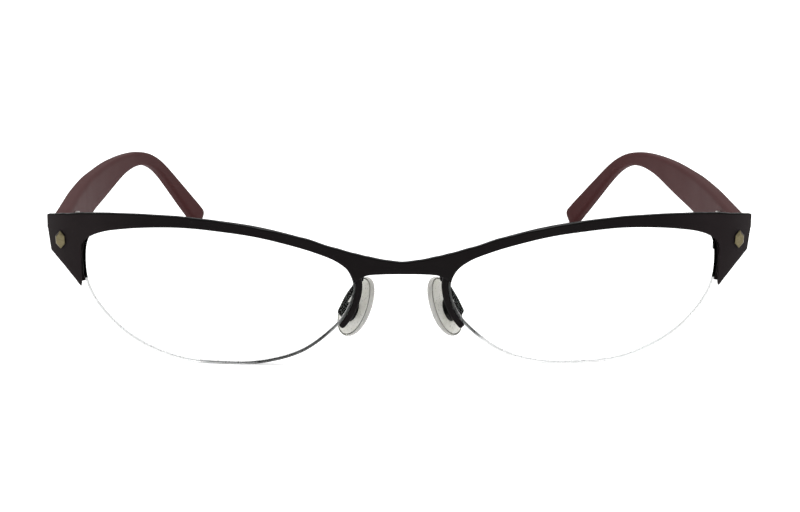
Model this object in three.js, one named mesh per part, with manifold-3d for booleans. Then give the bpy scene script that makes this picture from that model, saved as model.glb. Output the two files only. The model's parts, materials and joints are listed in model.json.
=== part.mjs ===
// Half-rim eyeglass frame: black metal brow front, clear lenses held by nylon, adjustable pads,
// burgundy plastic temples on screw hinges.
// Millimetres, +Z up. +X is the wearer's left, +Y runs back to the ears.
// The front is drawn flat first, as across, up and depth, and is then bent to the face curve.
import * as THREE from 'three';
import { mergeVertices } from 'three/addons/utils/BufferGeometryUtils.js';
import Module from 'manifold-3d';

const wasm = await Module();
wasm.setup();

// Driving dimensions of the front
const LENS_WIDTH = 53;
const LENS_HEIGHT = 29;
const BRIDGE_GAP = 18;
const END_WIDTH = 7.2;
const LENS_DROP = 0.6;
const LENS_RADIUS = 131;
const FACE_FORM_DEGREES = 6;
const PANTO_DEGREES = 8;
const END_BEND_START = 0.6;
const END_BEND_RUN = 6.3;
const END_WRAP_DEGREES = 47.7;
const PLATE_THICKNESS = 1.2;
const PLATE_CHAMFER = 0.15;
const BROW_LEAN_WIDTH = 0.65;

// Lenses and what holds them
const FIT_GAP = 0.1;
const LENS_THICKNESS = 1.7;
const LENS_BEVEL = 0.12;
const GROOVE_DEPTH = 0.55;
const GROOVE_WIDTH = 0.6;
const RIM_WALL = 1.15;
const RIM_DEPTH = 1.8;
const RIM_CHAMFER = 0.2;
const CHANNEL_DEPTH = 0.45;
const LINER_THICKNESS = 0.44;
const CORD_DIAMETER = 0.44;

// Studs in the endpieces
const STUD_WIDTH = 2;
const STUD_HEIGHT = 3.3;
const STUD_HEAD = 0.25;
const STUD_FACET = 0.35;
const STUD_SEAT = 0.24;
const STUD_SHANK_RADIUS = 0.6;
const STUD_IN_FROM_END = 3;
const STUD_DOWN = 4.05;
const HOLE_REACH = 3.2;
const RUNNING_GAP = 0.12;

// Hinges
const HINGE_BASE = 1;
const HINGE_BASE_HEIGHT = 7.8;
const HINGE_BASE_DOWN = 0.8;
const HINGE_BASE_SLANT = 2.8;
const HINGE_BASE_INNER = 5.5;
const HINGE_BASE_OUTER = 1;
const BARREL_RADIUS = 1.15;
const KNUCKLE_HEIGHT = 1.8;
const KNUCKLE_GAP = 0.1;
const HINGE_DOWN = 3.2;
const HINGE_BEHIND = 1.52;
const HINGE_ARM_WIDTH = 2.4;
const HINGE_ARM_SHIFT = 0.75;
const HINGE_SCREW_RADIUS = 0.55;
const HINGE_HEAD_RADIUS = 0.85;
const HINGE_HEAD_DEPTH = 0.7;
const SCREW_SLOT = 0.25;
const LEAF_THICKNESS = 0.8;
const LEAF_LENGTH = 8.6;
const LEAF_FRONT = 0.8;
const PEG_RADIUS = 0.55;
const PEG_LENGTH = 0.9;
const PEG_PITCH = 4;
const BUTT_GAP = 0.35;

// Temples
const TEMPLE_LEAD = 4.08;
const TEMPLE_REACH = 116.5;
const TEMPLE_FROM_END = 2.5;
const TEMPLE_HEIGHT = 9.35;
const TEMPLE_THICKNESS = 3.2;
const TEMPLE_DOWN = 1.5;
const TIP_INSET = 19.6;
const TIP_DROP = 19.6;
const FOOT_FLAT = 0.3;
const CORE_THICKNESS = 1;
const CORE_HEIGHT = 2.8;
const CORE_GAP = 0.15;

// Nose pads and their arms
const PAD_LENGTH = 13.4;
const PAD_WIDTH = 7.8;
const PAD_THICKNESS = 2;
const PAD_RISE = 1;
const PAD_OUT = 0.6;
const PAD_BACK = 9;
const PAD_DOWN = 4.88;
const PAD_FRONTAL_DEGREES = 25;
const PAD_TILT_DEGREES = 13;
const PAD_SPLAY_DEGREES = 38;
const INSERT_LENGTH = 5;
const INSERT_WIDTH = 3;
const INSERT_THICKNESS = 0.7;
const LUG_THICKNESS = 1;
const LUG_RADIUS = 0.7;
const LUG_REACH = 1.15;
const BOX_CHEEK = 0.55;
const BOX_FLOOR = 0.35;
const BOX_LENGTH = 2.6;
const BOX_MOUTH = 0.4;
const PAD_SCREW_RADIUS = 0.35;
const PAD_HEAD_RADIUS = 0.65;
const PAD_HEAD_THICKNESS = 0.4;
const WIRE_RADIUS = 0.5;
const ARM_IN = 1.05;
const ARM_UP = 2.4;
const ARM_LEAD = 1.7;
const OVERRUN = 30;

// Outline of the left lens, across and up, as shares of half its box; it starts at the temple side,
// goes over the top to the nose and back along the bottom
const lensShares = [
  [1, 0.35], [0.985, 0.66], [0.945, 0.8], [0.85, 0.885], [0.7, 0.94], [0.47, 0.985], [0.24, 1],
  [-0.01, 0.968], [-0.26, 0.908], [-0.49, 0.81], [-0.7, 0.69], [-0.86, 0.56], [-0.95, 0.42],
  [-1, 0.2], [-0.987, -0.03], [-0.925, -0.285], [-0.8, -0.54], [-0.6, -0.81], [-0.3, -0.975],
  [0, -1], [0.27, -0.968], [0.52, -0.82], [0.73, -0.58], [0.9, -0.235], [0.98, 0.07],
];
// Stretches of that outline, as shares of a full turn
const browShares = [0.03, 0.512];
const rimShares = [-0.034, 0.62];
const linerShares = [0, 0.564];
const cordShares = [0.576, 0.986];
// How far the plate laps over the lens edge, at shares of a turn: along the brow it covers the lip of
// the eyewire, and beside the temple it stands back from it
const plateLaps = [
  [0.03, -0.5], [0.045, -0.3], [0.06, 0.2], [0.085, 0.58], [0.125, 0.6], [0.2, 0.4], [0.36, 0.28],
  [0.512, 0.25],
];

// Top edge of the brow: station and height. Station 0 is the middle of the bridge, 1 the nose side
// of the lens, 2 its temple side and 3 the end of the front; heights are shares of half the lens
const browTopShares = [
  [-0.39, 0.541], [0, 0.51], [0.39, 0.541], [0.78, 0.597], [1, 0.638], [1.08, 0.73], [1.19, 0.868],
  [1.305, 0.968], [1.42, 1.045], [1.534, 1.098], [1.649, 1.125], [1.782, 1.124], [1.897, 1.106],
  [2, 1.074], [2.55, 1.022], [3, 0.95],
];
const bridgeUnderShares = [[0, 0.348], [0.35, 0.348], [0.6, 0.344], [0.75, 0.336], [0.87, 0.31]];
// Free lower edge of the endpiece, drawn with straight lines
const endUnderShares = [
  [2.04, 0.5], [2.047, 0.085], [2.06, 0.052], [2.1, 0.066], [2.222, 0.145], [2.514, 0.301],
  [2.736, 0.399], [2.903, 0.468], [2.982, 0.754], [3, 0.9],
];

// Temple: reach, inset, drop, height and thickness, each a share of the size of that name
const templeShares = [
  [0, 0, 0.073, 0.845, 1], [0.069, 0, 0.089, 0.93, 1], [0.155, 0, 0.107, 1, 1],
  [0.257, 0, 0.097, 0.965, 1], [0.395, 0.031, 0.066, 0.84, 0.97], [0.497, 0.097, 0.048, 0.76, 0.93],
  [0.567, 0.153, 0.029, 0.67, 0.9], [0.644, 0.24, 0, 0.49, 0.86], [0.717, 0.337, 0, 0.365, 0.83],
  [0.771, 0.438, 0.031, 0.32, 0.81], [0.828, 0.557, 0.143, 0.305, 0.8], [0.867, 0.648, 0.301, 0.33, 0.8],
  [0.914, 0.76, 0.531, 0.385, 0.81], [0.961, 0.892, 0.785, 0.45, 0.83], [1, 1.006, 1.001, 0.48, 0.84],
];
const TEMPLE_CORNER_SHARE = 0.62;
const TANGENT_STEP_SHARE = 0.002;
const LENS_RING_SHARE = 0.5;
const ARM_SIDE_SHARE = 0.8;
const WEB_SHARES = [0.9, 1.5];
const ARM_END_SHARE = 0.3;
const END_STEP_SHARE = 0.11;
const BACKING_LOW_SHARE = 0.25;
const CORE_START_SHARE = 0.055;
const CAVITY_END_SHARE = 0.9;
const CORE_END_SHARE = 0.89;
const CORE_TAPER_SHARE = 0.36;

// Nose pad: size and depth of each ring from the box side to the nose side, and how much fuller its
// lower end is
const padShares = [[0.93, 0], [0.985, 0.1], [1, 0.32], [0.97, 0.6], [0.86, 0.82], [0.55, 0.96]];
const PAD_FULLER_SHARE = 0.12;

// Counts of facets
const STEPS_PER_KNOT = 2;
const ROUND = 16;
const WIRE_SIDES = 8;
const WIRE_STEPS = 24;
const CORD_SIDES = 6;
const BACKING_ROWS = 14;
const BACKING_HEIGHTS = 9;
const PAD_POINTS = 28;

const RIGHT_ANGLE = Math.PI / 2;
const panto = THREE.MathUtils.degToRad(PANTO_DEGREES);
const X_AXIS = new THREE.Vector3(1, 0, 0);
const Z_AXIS = new THREE.Vector3(0, 0, 1);

// Shape helpers
function curveThrough(rows) {
  const stations = rows.map((row) => row[0]);
  const values = rows.flatMap((row) => row.slice(1));
  const width = rows[0].length - 1;
  const spline = new THREE.CubicInterpolant(stations, values, width);
  return (station) => Array.from(spline.evaluate(station));
}

function signedVolume(geometry) {
  const place = geometry.attributes.position;
  const index = geometry.index.array;
  const [a, b, c] = [new THREE.Vector3(), new THREE.Vector3(), new THREE.Vector3()];
  let total = 0;
  for (let i = 0; i < index.length; i += 3) {
    a.fromBufferAttribute(place, index[i]);
    b.fromBufferAttribute(place, index[i + 1]);
    c.fromBufferAttribute(place, index[i + 2]);
    total += a.dot(b.cross(c)) / 6;
  }
  return total;
}

function flip(geometry) {
  const index = geometry.index.array;
  for (let i = 0; i < index.length; i += 3) {
    [index[i + 1], index[i + 2]] = [index[i + 2], index[i + 1]];
  }
  return geometry;
}

// Triangles that close a ring by stepping inward from both of its ends in turn
function stripFaces(count) {
  const faces = [];
  for (let [low, high] = [0, count - 1]; high - low > 1; low += 1) {
    faces.push([low, low + 1, high]);
    if (high - low > 2) faces.push([low + 1, high - 1, high]);
    high -= 1;
  }
  return faces;
}

// Skin over a row of rings with equal counts; an end ring of one point is a pole. An open end ring
// is closed as a strip, or by the triangles of its section where that isn't convex
function loft(rings, section) {
  const places = [];
  const faces = [];
  const starts = rings.map((ring) => {
    const start = places.length / 3;
    ring.forEach((point) => places.push(point.x, point.y, point.z));
    return start;
  });
  for (let r = 0; r + 1 < rings.length; r += 1) {
    const [near, far] = [rings[r].length, rings[r + 1].length];
    const count = Math.max(near, far);
    for (let k = 0; k < count; k += 1) {
      const next = (k + 1) % count;
      const a = starts[r] + (near > 1 ? k : 0);
      const b = starts[r] + (near > 1 ? next : 0);
      const c = starts[r + 1] + (far > 1 ? k : 0);
      const d = starts[r + 1] + (far > 1 ? next : 0);
      if (near > 1) faces.push(a, b, c);
      if (far > 1) faces.push(b, d, c);
    }
  }
  const capOf = (ring) => {
    if (ring.length === 1) return [];
    return section ? THREE.ShapeUtils.triangulateShape(section, []) : stripFaces(ring.length);
  };
  const last = starts[rings.length - 1];
  capOf(rings[0]).forEach(([a, b, c]) => faces.push(starts[0] + c, starts[0] + b, starts[0] + a));
  capOf(rings[rings.length - 1]).forEach(([a, b, c]) => faces.push(last + a, last + b, last + c));
  const geometry = new THREE.BufferGeometry();
  geometry.setAttribute('position', new THREE.Float32BufferAttribute(places, 3));
  geometry.setIndex(faces);
  return signedVolume(geometry) < 0 ? flip(geometry) : geometry;
}

function toSolid(geometry) {
  let merged = geometry.clone();
  merged.deleteAttribute('normal');
  merged.deleteAttribute('uv');
  merged = mergeVertices(merged);
  if (signedVolume(merged) < 0) flip(merged);
  return new wasm.Manifold(new wasm.Mesh({
    numProp: 3,
    vertProperties: new Float32Array(merged.attributes.position.array),
    triVerts: new Uint32Array(merged.index.array),
  }));
}

function toGeometry(solid) {
  const mesh = solid.getMesh();
  const geometry = new THREE.BufferGeometry();
  geometry.setAttribute('position', new THREE.BufferAttribute(mesh.vertProperties, 3));
  geometry.setIndex(new THREE.BufferAttribute(mesh.triVerts, 1));
  return geometry;
}

function join(first, ...others) {
  return toGeometry(others.reduce((sum, geometry) => sum.add(toSolid(geometry)), toSolid(first)));
}

function cut(first, ...others) {
  return toGeometry(others.reduce((rest, geometry) => rest.subtract(toSolid(geometry)), toSolid(first)));
}

function polygon(points) {
  return new THREE.Shape(points.map(([x, y]) => new THREE.Vector2(x, y)));
}

// Upright cylinder about a point, from one height to another
function post(radius, x, y, from, to) {
  const cylinder = new THREE.CylinderGeometry(radius, radius, to - from, ROUND);
  return cylinder.rotateX(RIGHT_ANGLE).translate(x, y, (from + to) / 2);
}

function slab(shape, from, to) {
  return new THREE.ExtrudeGeometry(shape, { depth: to - from, bevelEnabled: false }).translate(0, 0, from);
}

function block(x0, x1, y0, y1, z0, z1) {
  const box = new THREE.BoxGeometry(x1 - x0, y1 - y0, z1 - z0);
  return box.translate((x0 + x1) / 2, (y0 + y1) / 2, (z0 + z1) / 2);
}

// Rectangle with rounded corners, three points to a corner, as offsets from its middle
function roundedSection(halfWide, halfHigh, radius) {
  const corners = [[1, 1], [-1, 1], [-1, -1], [1, -1]];
  return corners.flatMap(([sx, sy], corner) => [0, 1, 2].map((step) => {
    const angle = (corner + step / 2) * RIGHT_ANGLE;
    const x = sx * (halfWide - radius) + radius * Math.cos(angle);
    const y = sy * (halfHigh - radius) + radius * Math.sin(angle);
    return new THREE.Vector2(x, y);
  }));
}

// Face curve: the slope of the front against its distance from the middle
const noseSide = BRIDGE_GAP / 2;
const templeSide = noseSide + LENS_WIDTH;
const frontEnd = templeSide + END_WIDTH;
const faceForm = Math.tan(THREE.MathUtils.degToRad(FACE_FORM_DEGREES));
const lensTurn = LENS_WIDTH / 2 / LENS_RADIUS;
const bendStart = templeSide + END_BEND_START;
const bendEnd = bendStart + END_BEND_RUN;
const endSlope = Math.tan(THREE.MathUtils.degToRad(END_WRAP_DEGREES));
const slopeKnots = [
  [0, 0], [noseSide, faceForm - lensTurn], [templeSide, faceForm + lensTurn],
  [bendStart, faceForm + lensTurn], [bendEnd, endSlope], [frontEnd + OVERRUN, endSlope],
];

function frontCurve(across) {
  const reach = Math.abs(across);
  let sag = 0;
  let slope = 0;
  for (let i = 0; i + 1 < slopeKnots.length && reach > slopeKnots[i][0]; i += 1) {
    const [start, first] = slopeKnots[i];
    const [end, second] = slopeKnots[i + 1];
    const run = Math.min(reach, end) - start;
    slope = first + (second - first) * run / (end - start);
    sag += run * (first + slope) / 2;
  }
  return { sag, slope: slope * Math.sign(across) };
}

// A point of the front: across and up on the flat drawing, depth behind its front face. Depth runs
// straight back over the lenses and turns only with the bend of the endpieces
function onFront(across, up, depth) {
  const { sag, slope } = frontCurve(across);
  const bend = Math.sign(slope) * Math.max(Math.abs(slope) - faceForm - lensTurn, 0);
  const normal = new THREE.Vector3(-bend, 1, -up / LENS_RADIUS).normalize();
  const base = new THREE.Vector3(across, sag + up * up / (2 * LENS_RADIUS), up);
  return base.addScaledVector(normal, depth).applyAxisAngle(X_AXIS, panto);
}

// Lens edge: the closed curve and its outward offset
const halfWide = LENS_WIDTH / 2;
const halfHigh = LENS_HEIGHT / 2;
const lensCentre = new THREE.Vector2(noseSide + halfWide, -LENS_DROP);
const knotCount = lensShares.length;
const lensCurve = new THREE.CatmullRomCurve3(lensShares.map(([across, up]) => new THREE.Vector3(
  lensCentre.x + across * halfWide,
  lensCentre.y + up * halfHigh,
  0,
)), true, 'centripetal');

function lensEdge(knot, outward) {
  const turn = ((knot % knotCount) + knotCount) % knotCount / knotCount;
  const point = lensCurve.getPoint(turn);
  const tangent = lensCurve.getTangent(turn);
  return new THREE.Vector2(point.x + tangent.y * outward, point.y - tangent.x * outward);
}

// Both ends and every whole step between them, so that neighbours along the edge share stations
function knotsBetween(shares) {
  const [from, to] = shares.map((share) => share * knotCount);
  const first = Math.floor(from * STEPS_PER_KNOT) + 1;
  const count = Math.ceil(to * STEPS_PER_KNOT) - first;
  const inside = Array.from({ length: count }, (_, step) => (first + step) / STEPS_PER_KNOT);
  return [from, ...inside, to];
}

// A bar of one section, outward and depth, along the lens edge
function edgeBar(shares, section) {
  const rings = knotsBetween(shares).map((knot) => section.map(({ x, y }) => {
    const flat = lensEdge(knot, x);
    return onFront(flat.x, flat.y, y);
  }));
  return loft(rings, section);
}

const rimFront = PLATE_THICKNESS + FIT_GAP;
const rimBack = rimFront + RIM_DEPTH;
const grooveMiddle = (rimFront + rimBack) / 2;
const grooveFront = grooveMiddle - GROOVE_WIDTH / 2;
const grooveBack = grooveMiddle + GROOVE_WIDTH / 2;

// Front plate: brow, bridge and endpieces in one strip of rungs from the top edge to the lower edge
function stationAcross(station) {
  if (station <= 1) return station * noseSide;
  if (station <= 2) return noseSide + (station - 1) * LENS_WIDTH;
  return templeSide + (station - 2) * END_WIDTH;
}

const alongFront = (rows) => curveThrough(rows.map(([station, height]) => (
  [stationAcross(station), height])));
const browTop = alongFront(browTopShares);
const plateLap = curveThrough(plateLaps);

function frontPoint(across, height) {
  return new THREE.Vector2(across, lensCentre.y + height * halfHigh);
}

function topPoint(across) {
  return frontPoint(across, browTop(across)[0]);
}

function rungs() {
  const bridge = bridgeUnderShares.map(([station, height]) => {
    const across = stationAcross(station);
    return [topPoint(across), frontPoint(across, height)];
  });
  const brow = knotsBetween(browShares).reverse().map((knot) => {
    const low = lensEdge(knot, -plateLap(knot / knotCount)[0]);
    const lean = Math.min(lensEdge(knot, BROW_LEAN_WIDTH).x - lensEdge(knot, 0).x, 0);
    return [topPoint(low.x + lean), low];
  });
  const end = endUnderShares.flatMap(([station, height], k) => {
    const [before, above] = endUnderShares[Math.max(k - 1, 0)];
    const steps = Math.max(Math.ceil((station - before) / END_STEP_SHARE), 1);
    return Array.from({ length: k ? steps : 1 }, (_, step) => {
      const part = (step + 1) / steps;
      const here = stationAcross(before + (station - before) * part);
      return [topPoint(here), frontPoint(here, above + (height - above) * part)];
    });
  });
  return [...bridge, ...brow, ...end];
}

function chamferedRung(top, low, side) {
  const length = top.distanceTo(low);
  const [near, far] = [PLATE_CHAMFER, length - PLATE_CHAMFER];
  const across = [0, 1 / 3, 2 / 3, 1].map((part) => near + (far - near) * part);
  const section = [
    ...across.map((along) => [along, 0]),
    [length, PLATE_CHAMFER], [length, PLATE_THICKNESS - PLATE_CHAMFER],
    ...across.reverse().map((along) => [along, PLATE_THICKNESS]),
    [0, PLATE_THICKNESS - PLATE_CHAMFER], [0, PLATE_CHAMFER],
  ];
  return section.map(([along, depth]) => {
    const flat = top.clone().lerp(low, along / length);
    return onFront(side * flat.x, flat.y, depth);
  });
}

// Where stud, hinge and temple sit, from the end of the front and its top edge there
const endTop = topPoint(frontEnd).y;
const endSag = frontCurve(frontEnd).sag;
const studAcross = frontEnd - STUD_IN_FROM_END;
const studUp = endTop - STUD_DOWN;
const hingeLevel = endTop - HINGE_DOWN;
const hingeBaseUp = endTop - HINGE_BASE_DOWN;
const templeSpread = frontEnd - TEMPLE_FROM_END;
const templeLevel = endTop - TEMPLE_DOWN;
const templeStart = endSag - TEMPLE_LEAD;

// Places a shape drawn about its own axis so that the axis points out of the front at a spot
function atStud(geometry) {
  const spot = onFront(studAcross, studUp, 0);
  const out = spot.clone().sub(onFront(studAcross, studUp, PLATE_THICKNESS)).normalize();
  const across = new THREE.Vector3().crossVectors(Z_AXIS, out).normalize();
  const up = new THREE.Vector3().crossVectors(out, across);
  return geometry.applyMatrix4(new THREE.Matrix4().makeBasis(across, up, out).setPosition(spot));
}

const mirrored = (geometry) => flip(geometry.clone().scale(-1, 1, 1));

function frontPlateShape() {
  const rows = rungs();
  const rightHalf = rows.slice(1).reverse().map(([top, low]) => chamferedRung(top, low, -1));
  const leftHalf = rows.map(([top, low]) => chamferedRung(top, low, 1));
  const plate = loft([...rightHalf, ...leftHalf]);
  const hole = atStud(post(STUD_SHANK_RADIUS + RUNNING_GAP, 0, 0, -HOLE_REACH, HOLE_REACH));
  return cut(plate, hole, mirrored(hole));
}

// Eyewire: a channel behind the brow, from the leg beside the nose to the temple side
function eyewireShape() {
  const [inner, outer] = [FIT_GAP, FIT_GAP + RIM_WALL];
  return edgeBar(rimShares, [
    [inner, rimFront], [outer - RIM_CHAMFER, rimFront], [outer, rimFront + RIM_CHAMFER],
    [outer, rimBack - RIM_CHAMFER], [outer - RIM_CHAMFER, rimBack], [inner, rimBack],
    [inner, grooveBack], [inner + CHANNEL_DEPTH, grooveBack],
    [inner + CHANNEL_DEPTH, grooveFront], [inner, grooveFront],
  ].map(([x, y]) => new THREE.Vector2(x, y)));
}

// Nylon bead between the channel and the lens groove
function linerShape() {
  const inner = FIT_GAP - GROOVE_DEPTH;
  const outer = CHANNEL_DEPTH;
  const [near, far] = [grooveMiddle - LINER_THICKNESS / 2, grooveMiddle + LINER_THICKNESS / 2];
  return edgeBar(linerShares, [[inner, near], [outer, near], [outer, far], [inner, far]]
    .map(([x, y]) => new THREE.Vector2(x, y)));
}

// Nylon cord in the lower groove
function cordShape() {
  const middle = -GROOVE_DEPTH / 2;
  const radius = CORD_DIAMETER / 2;
  const section = Array.from({ length: CORD_SIDES }, (_, k) => {
    const angle = k * 2 * Math.PI / CORD_SIDES;
    return new THREE.Vector2(middle + radius * Math.cos(angle), grooveMiddle + radius * Math.sin(angle));
  });
  return edgeBar(cordShares, section);
}

// Lens: curved disc with a grooved, lightly bevelled edge
function lensShape() {
  const front = grooveMiddle - LENS_THICKNESS / 2;
  const back = grooveMiddle + LENS_THICKNESS / 2;
  const knots = Array.from({ length: knotCount * STEPS_PER_KNOT }, (_, k) => k / STEPS_PER_KNOT);
  const edgeRing = (outward, depth) => knots.map((knot) => {
    const flat = lensEdge(knot, outward);
    return onFront(flat.x, flat.y, depth);
  });
  const innerRing = (share, depth) => knots.map((knot) => {
    const flat = lensCentre.clone().lerp(lensEdge(knot, 0), share);
    return onFront(flat.x, flat.y, depth);
  });
  return loft([
    [onFront(lensCentre.x, lensCentre.y, front)], innerRing(LENS_RING_SHARE, front),
    edgeRing(-LENS_BEVEL, front), edgeRing(0, front + LENS_BEVEL),
    edgeRing(0, grooveFront), edgeRing(-GROOVE_DEPTH, grooveFront),
    edgeRing(-GROOVE_DEPTH, grooveBack), edgeRing(0, grooveBack),
    edgeRing(0, back - LENS_BEVEL), edgeRing(-LENS_BEVEL, back),
    innerRing(LENS_RING_SHARE, back), [onFront(lensCentre.x, lensCentre.y, back)],
  ]);
}

// Stud: long six-sided head with sloping facets on a shank through plate and hinge base. The plate
// curves under the flat head, so the seat is measured at the middle of the head
function studShape() {
  const [wide, high] = [STUD_WIDTH / 2 - STUD_FACET, STUD_HEIGHT / 2 - STUD_FACET];
  const head = new THREE.ExtrudeGeometry(
    polygon([
      [0, -high], [wide, -high / 2], [wide, high / 2], [0, high], [-wide, high / 2], [-wide, -high / 2],
    ]),
    { depth: STUD_HEAD, bevelThickness: STUD_FACET, bevelSize: STUD_FACET, bevelSegments: 1 },
  ).translate(0, 0, STUD_SEAT);
  const base = block(-STUD_WIDTH, STUD_WIDTH, -STUD_HEIGHT, STUD_HEIGHT, -OVERRUN, STUD_SEAT);
  const shankEnd = PLATE_THICKNESS + HINGE_BASE - FIT_GAP;
  const shank = post(STUD_SHANK_RADIUS, 0, 0, -shankEnd, STUD_SEAT + STUD_HEAD / 2);
  return atStud(join(cut(head, base), shank));
}

// Everything in front of a depth behind the front face, around the endpiece
function frontKeepOut(depth) {
  const heights = Array.from({ length: BACKING_HEIGHTS }, (_, k) => (
    lensCentre.y + LENS_HEIGHT * (k / (BACKING_HEIGHTS - 1) - BACKING_LOW_SHARE)));
  const section = [
    ...heights.map((up) => new THREE.Vector2(up, depth)),
    ...heights.reverse().map((up) => new THREE.Vector2(up, -END_WIDTH)),
  ];
  const rings = Array.from({ length: BACKING_ROWS + 1 }, (_, k) => {
    const across = templeSide - END_WIDTH + k * 3 * END_WIDTH / BACKING_ROWS;
    return section.map(({ x, y }) => onFront(across, x, y));
  });
  return loft(rings);
}

// Hinge, built about its own upright pin; the knuckles are stacked from the bottom up
const templeInner = templeSpread - TEMPLE_THICKNESS / 2;
const leafInner = templeInner - FIT_GAP - LEAF_THICKNESS;
const pinAcross = leafInner - BARREL_RADIUS - KNUCKLE_GAP / 2;
const pinBack = endSag + HINGE_BEHIND;
const knuckleLevels = [-1, 0, 1].map((n) => {
  const middle = hingeLevel + n * (KNUCKLE_HEIGHT + KNUCKLE_GAP);
  return [middle - KNUCKLE_HEIGHT / 2, middle + KNUCKLE_HEIGHT / 2];
});
const [lowKnuckle, middleKnuckle, highKnuckle] = knuckleLevels;
const aboutPin = (radius, from, to) => post(radius, pinAcross, pinBack, from, to);
const pinHole = () => aboutPin(HINGE_SCREW_RADIUS + FIT_GAP, -OVERRUN, OVERRUN);

function hingeFrontShape() {
  const baseFront = PLATE_THICKNESS + FIT_GAP;
  const baseBack = baseFront + HINGE_BASE;
  const [from, to] = [frontEnd - HINGE_BASE_INNER, frontEnd - HINGE_BASE_OUTER];
  const count = 6;
  const base = loft(Array.from({ length: count + 1 }, (_, k) => {
    const across = from + (to - from) * k / count;
    const low = hingeBaseUp - HINGE_BASE_HEIGHT + HINGE_BASE_SLANT * k / count;
    return [[low, baseFront], [hingeBaseUp, baseFront], [hingeBaseUp, baseBack], [low, baseBack]]
      .map(([up, depth]) => onFront(across, up, depth));
  }));
  const middle = (baseFront + baseBack) / 2;
  const arms = [lowKnuckle, highKnuckle].map(([bottom, top]) => {
    const arm = slab(polygon([
      [pinAcross - HINGE_ARM_WIDTH / 4, pinBack - BARREL_RADIUS / 2],
      [pinAcross + HINGE_ARM_SHIFT, pinBack - 2 * BARREL_RADIUS],
      [pinAcross + HINGE_ARM_SHIFT, pinBack - END_WIDTH],
      [pinAcross + HINGE_ARM_WIDTH, pinBack - END_WIDTH],
      [pinAcross + BARREL_RADIUS * ARM_SIDE_SHARE, pinBack - BARREL_RADIUS / 2],
    ]), bottom, top);
    return join(cut(arm, frontKeepOut(middle)), aboutPin(BARREL_RADIUS, bottom, top));
  });
  const headSeat = aboutPin(HINGE_HEAD_RADIUS + FIT_GAP, highKnuckle[1] - HINGE_HEAD_DEPTH, OVERRUN);
  const studHole = atStud(post(STUD_SHANK_RADIUS + RUNNING_GAP, 0, 0, -HOLE_REACH, HOLE_REACH));
  return cut(join(base, ...arms), pinHole(), headSeat, studHole);
}

const leafLow = lowKnuckle[0];
const leafHigh = highKnuckle[1];
const leafStart = pinBack + LEAF_FRONT;
const leafEnd = leafStart + LEAF_LENGTH;
const pegPlaces = [-1, 1].map((side) => (leafStart + leafEnd) / 2 + side * PEG_PITCH / 2);

// A cylinder that lies across the temple, at one of the pegs
function acrossPeg(radius, from, to, back) {
  const cylinder = new THREE.CylinderGeometry(radius, radius, to - from, ROUND);
  return cylinder.rotateZ(RIGHT_ANGLE).translate((from + to) / 2, back, hingeLevel);
}

function hingeTempleShape() {
  const leaf = block(leafInner, leafInner + LEAF_THICKNESS, leafStart, leafEnd, leafLow, leafHigh);
  const web = slab(polygon([
    [pinAcross, pinBack - BARREL_RADIUS / 2], [pinAcross, pinBack + BARREL_RADIUS * WEB_SHARES[0]],
    [leafInner + LEAF_THICKNESS / 2, leafStart + BARREL_RADIUS * WEB_SHARES[1]],
    [leafInner + LEAF_THICKNESS / 2, leafStart - LEAF_FRONT / 2],
  ]), ...middleKnuckle);
  const knuckle = aboutPin(BARREL_RADIUS, ...middleKnuckle);
  const pegStart = leafInner + LEAF_THICKNESS / 2;
  const pegEnd = leafInner + LEAF_THICKNESS + PEG_LENGTH;
  const pegs = pegPlaces.map((back) => acrossPeg(PEG_RADIUS, pegStart, pegEnd, back));
  return cut(join(leaf, web, knuckle, ...pegs), pinHole());
}

function hingeScrewShape() {
  const top = highKnuckle[1];
  const headBottom = top - HINGE_HEAD_DEPTH + FIT_GAP;
  const shank = aboutPin(HINGE_SCREW_RADIUS, lowKnuckle[0], headBottom + FIT_GAP);
  const head = aboutPin(HINGE_HEAD_RADIUS, headBottom, top);
  const slot = block(
    pinAcross - OVERRUN / 2, pinAcross + OVERRUN / 2,
    pinBack - SCREW_SLOT / 2, pinBack + SCREW_SLOT / 2,
    top - SCREW_SLOT, top + OVERRUN,
  );
  return cut(join(shank, head), slot);
}

// Temple: a curved bar with a rounded section, hollow from the front for its wire core
const templeAt = curveThrough(templeShares);

function templeCentre(share) {
  const [inset, drop] = templeAt(share);
  return new THREE.Vector3(
    templeSpread - inset * TIP_INSET,
    templeStart + share * TEMPLE_REACH,
    templeLevel - drop * TIP_DROP,
  );
}

function templeStation(share) {
  const [, , high, thick] = templeAt(share);
  const step = TANGENT_STEP_SHARE;
  const before = templeCentre(Math.max(share - step, 0));
  const tangent = templeCentre(Math.min(share + step, 1)).sub(before).normalize();
  const outward = new THREE.Vector3(tangent.y, -tangent.x, 0).normalize();
  const up = new THREE.Vector3().crossVectors(outward, tangent);
  return {
    centre: templeCentre(share),
    tangent,
    outward,
    up,
    halfThick: thick * TEMPLE_THICKNESS / 2,
    halfHigh: high * TEMPLE_HEIGHT / 2,
  };
}

function templeRing(station, section) {
  return section.map(({ x, y }) => station.centre.clone()
    .addScaledVector(station.outward, x)
    .addScaledVector(station.up, y));
}

function templeKnots(from, to) {
  const inside = templeShares.map((row) => row[0]).filter((share) => share > from && share < to);
  const knots = [from, ...inside, to];
  return knots.flatMap((knot, k) => (k === 0 ? [knot] : [(knots[k - 1] + knot) / 2, knot]));
}

// Flat wire with cut corners, thinner and narrower toward the tip
function coreSection(share, gap) {
  const high = CORE_HEIGHT * (1 - (1 - CORE_TAPER_SHARE) * share) / 2 + gap;
  const thick = CORE_THICKNESS * (1 - (1 - CORE_TAPER_SHARE) * share / 2) / 2 + gap;
  const corner = thick * TEMPLE_CORNER_SHARE;
  return [
    [thick, high - corner], [thick - corner, high], [corner - thick, high], [-thick, high - corner],
    [-thick, corner - high], [corner - thick, -high], [thick - corner, -high], [thick, corner - high],
  ].map(([x, y]) => new THREE.Vector2(x, y));
}

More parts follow.
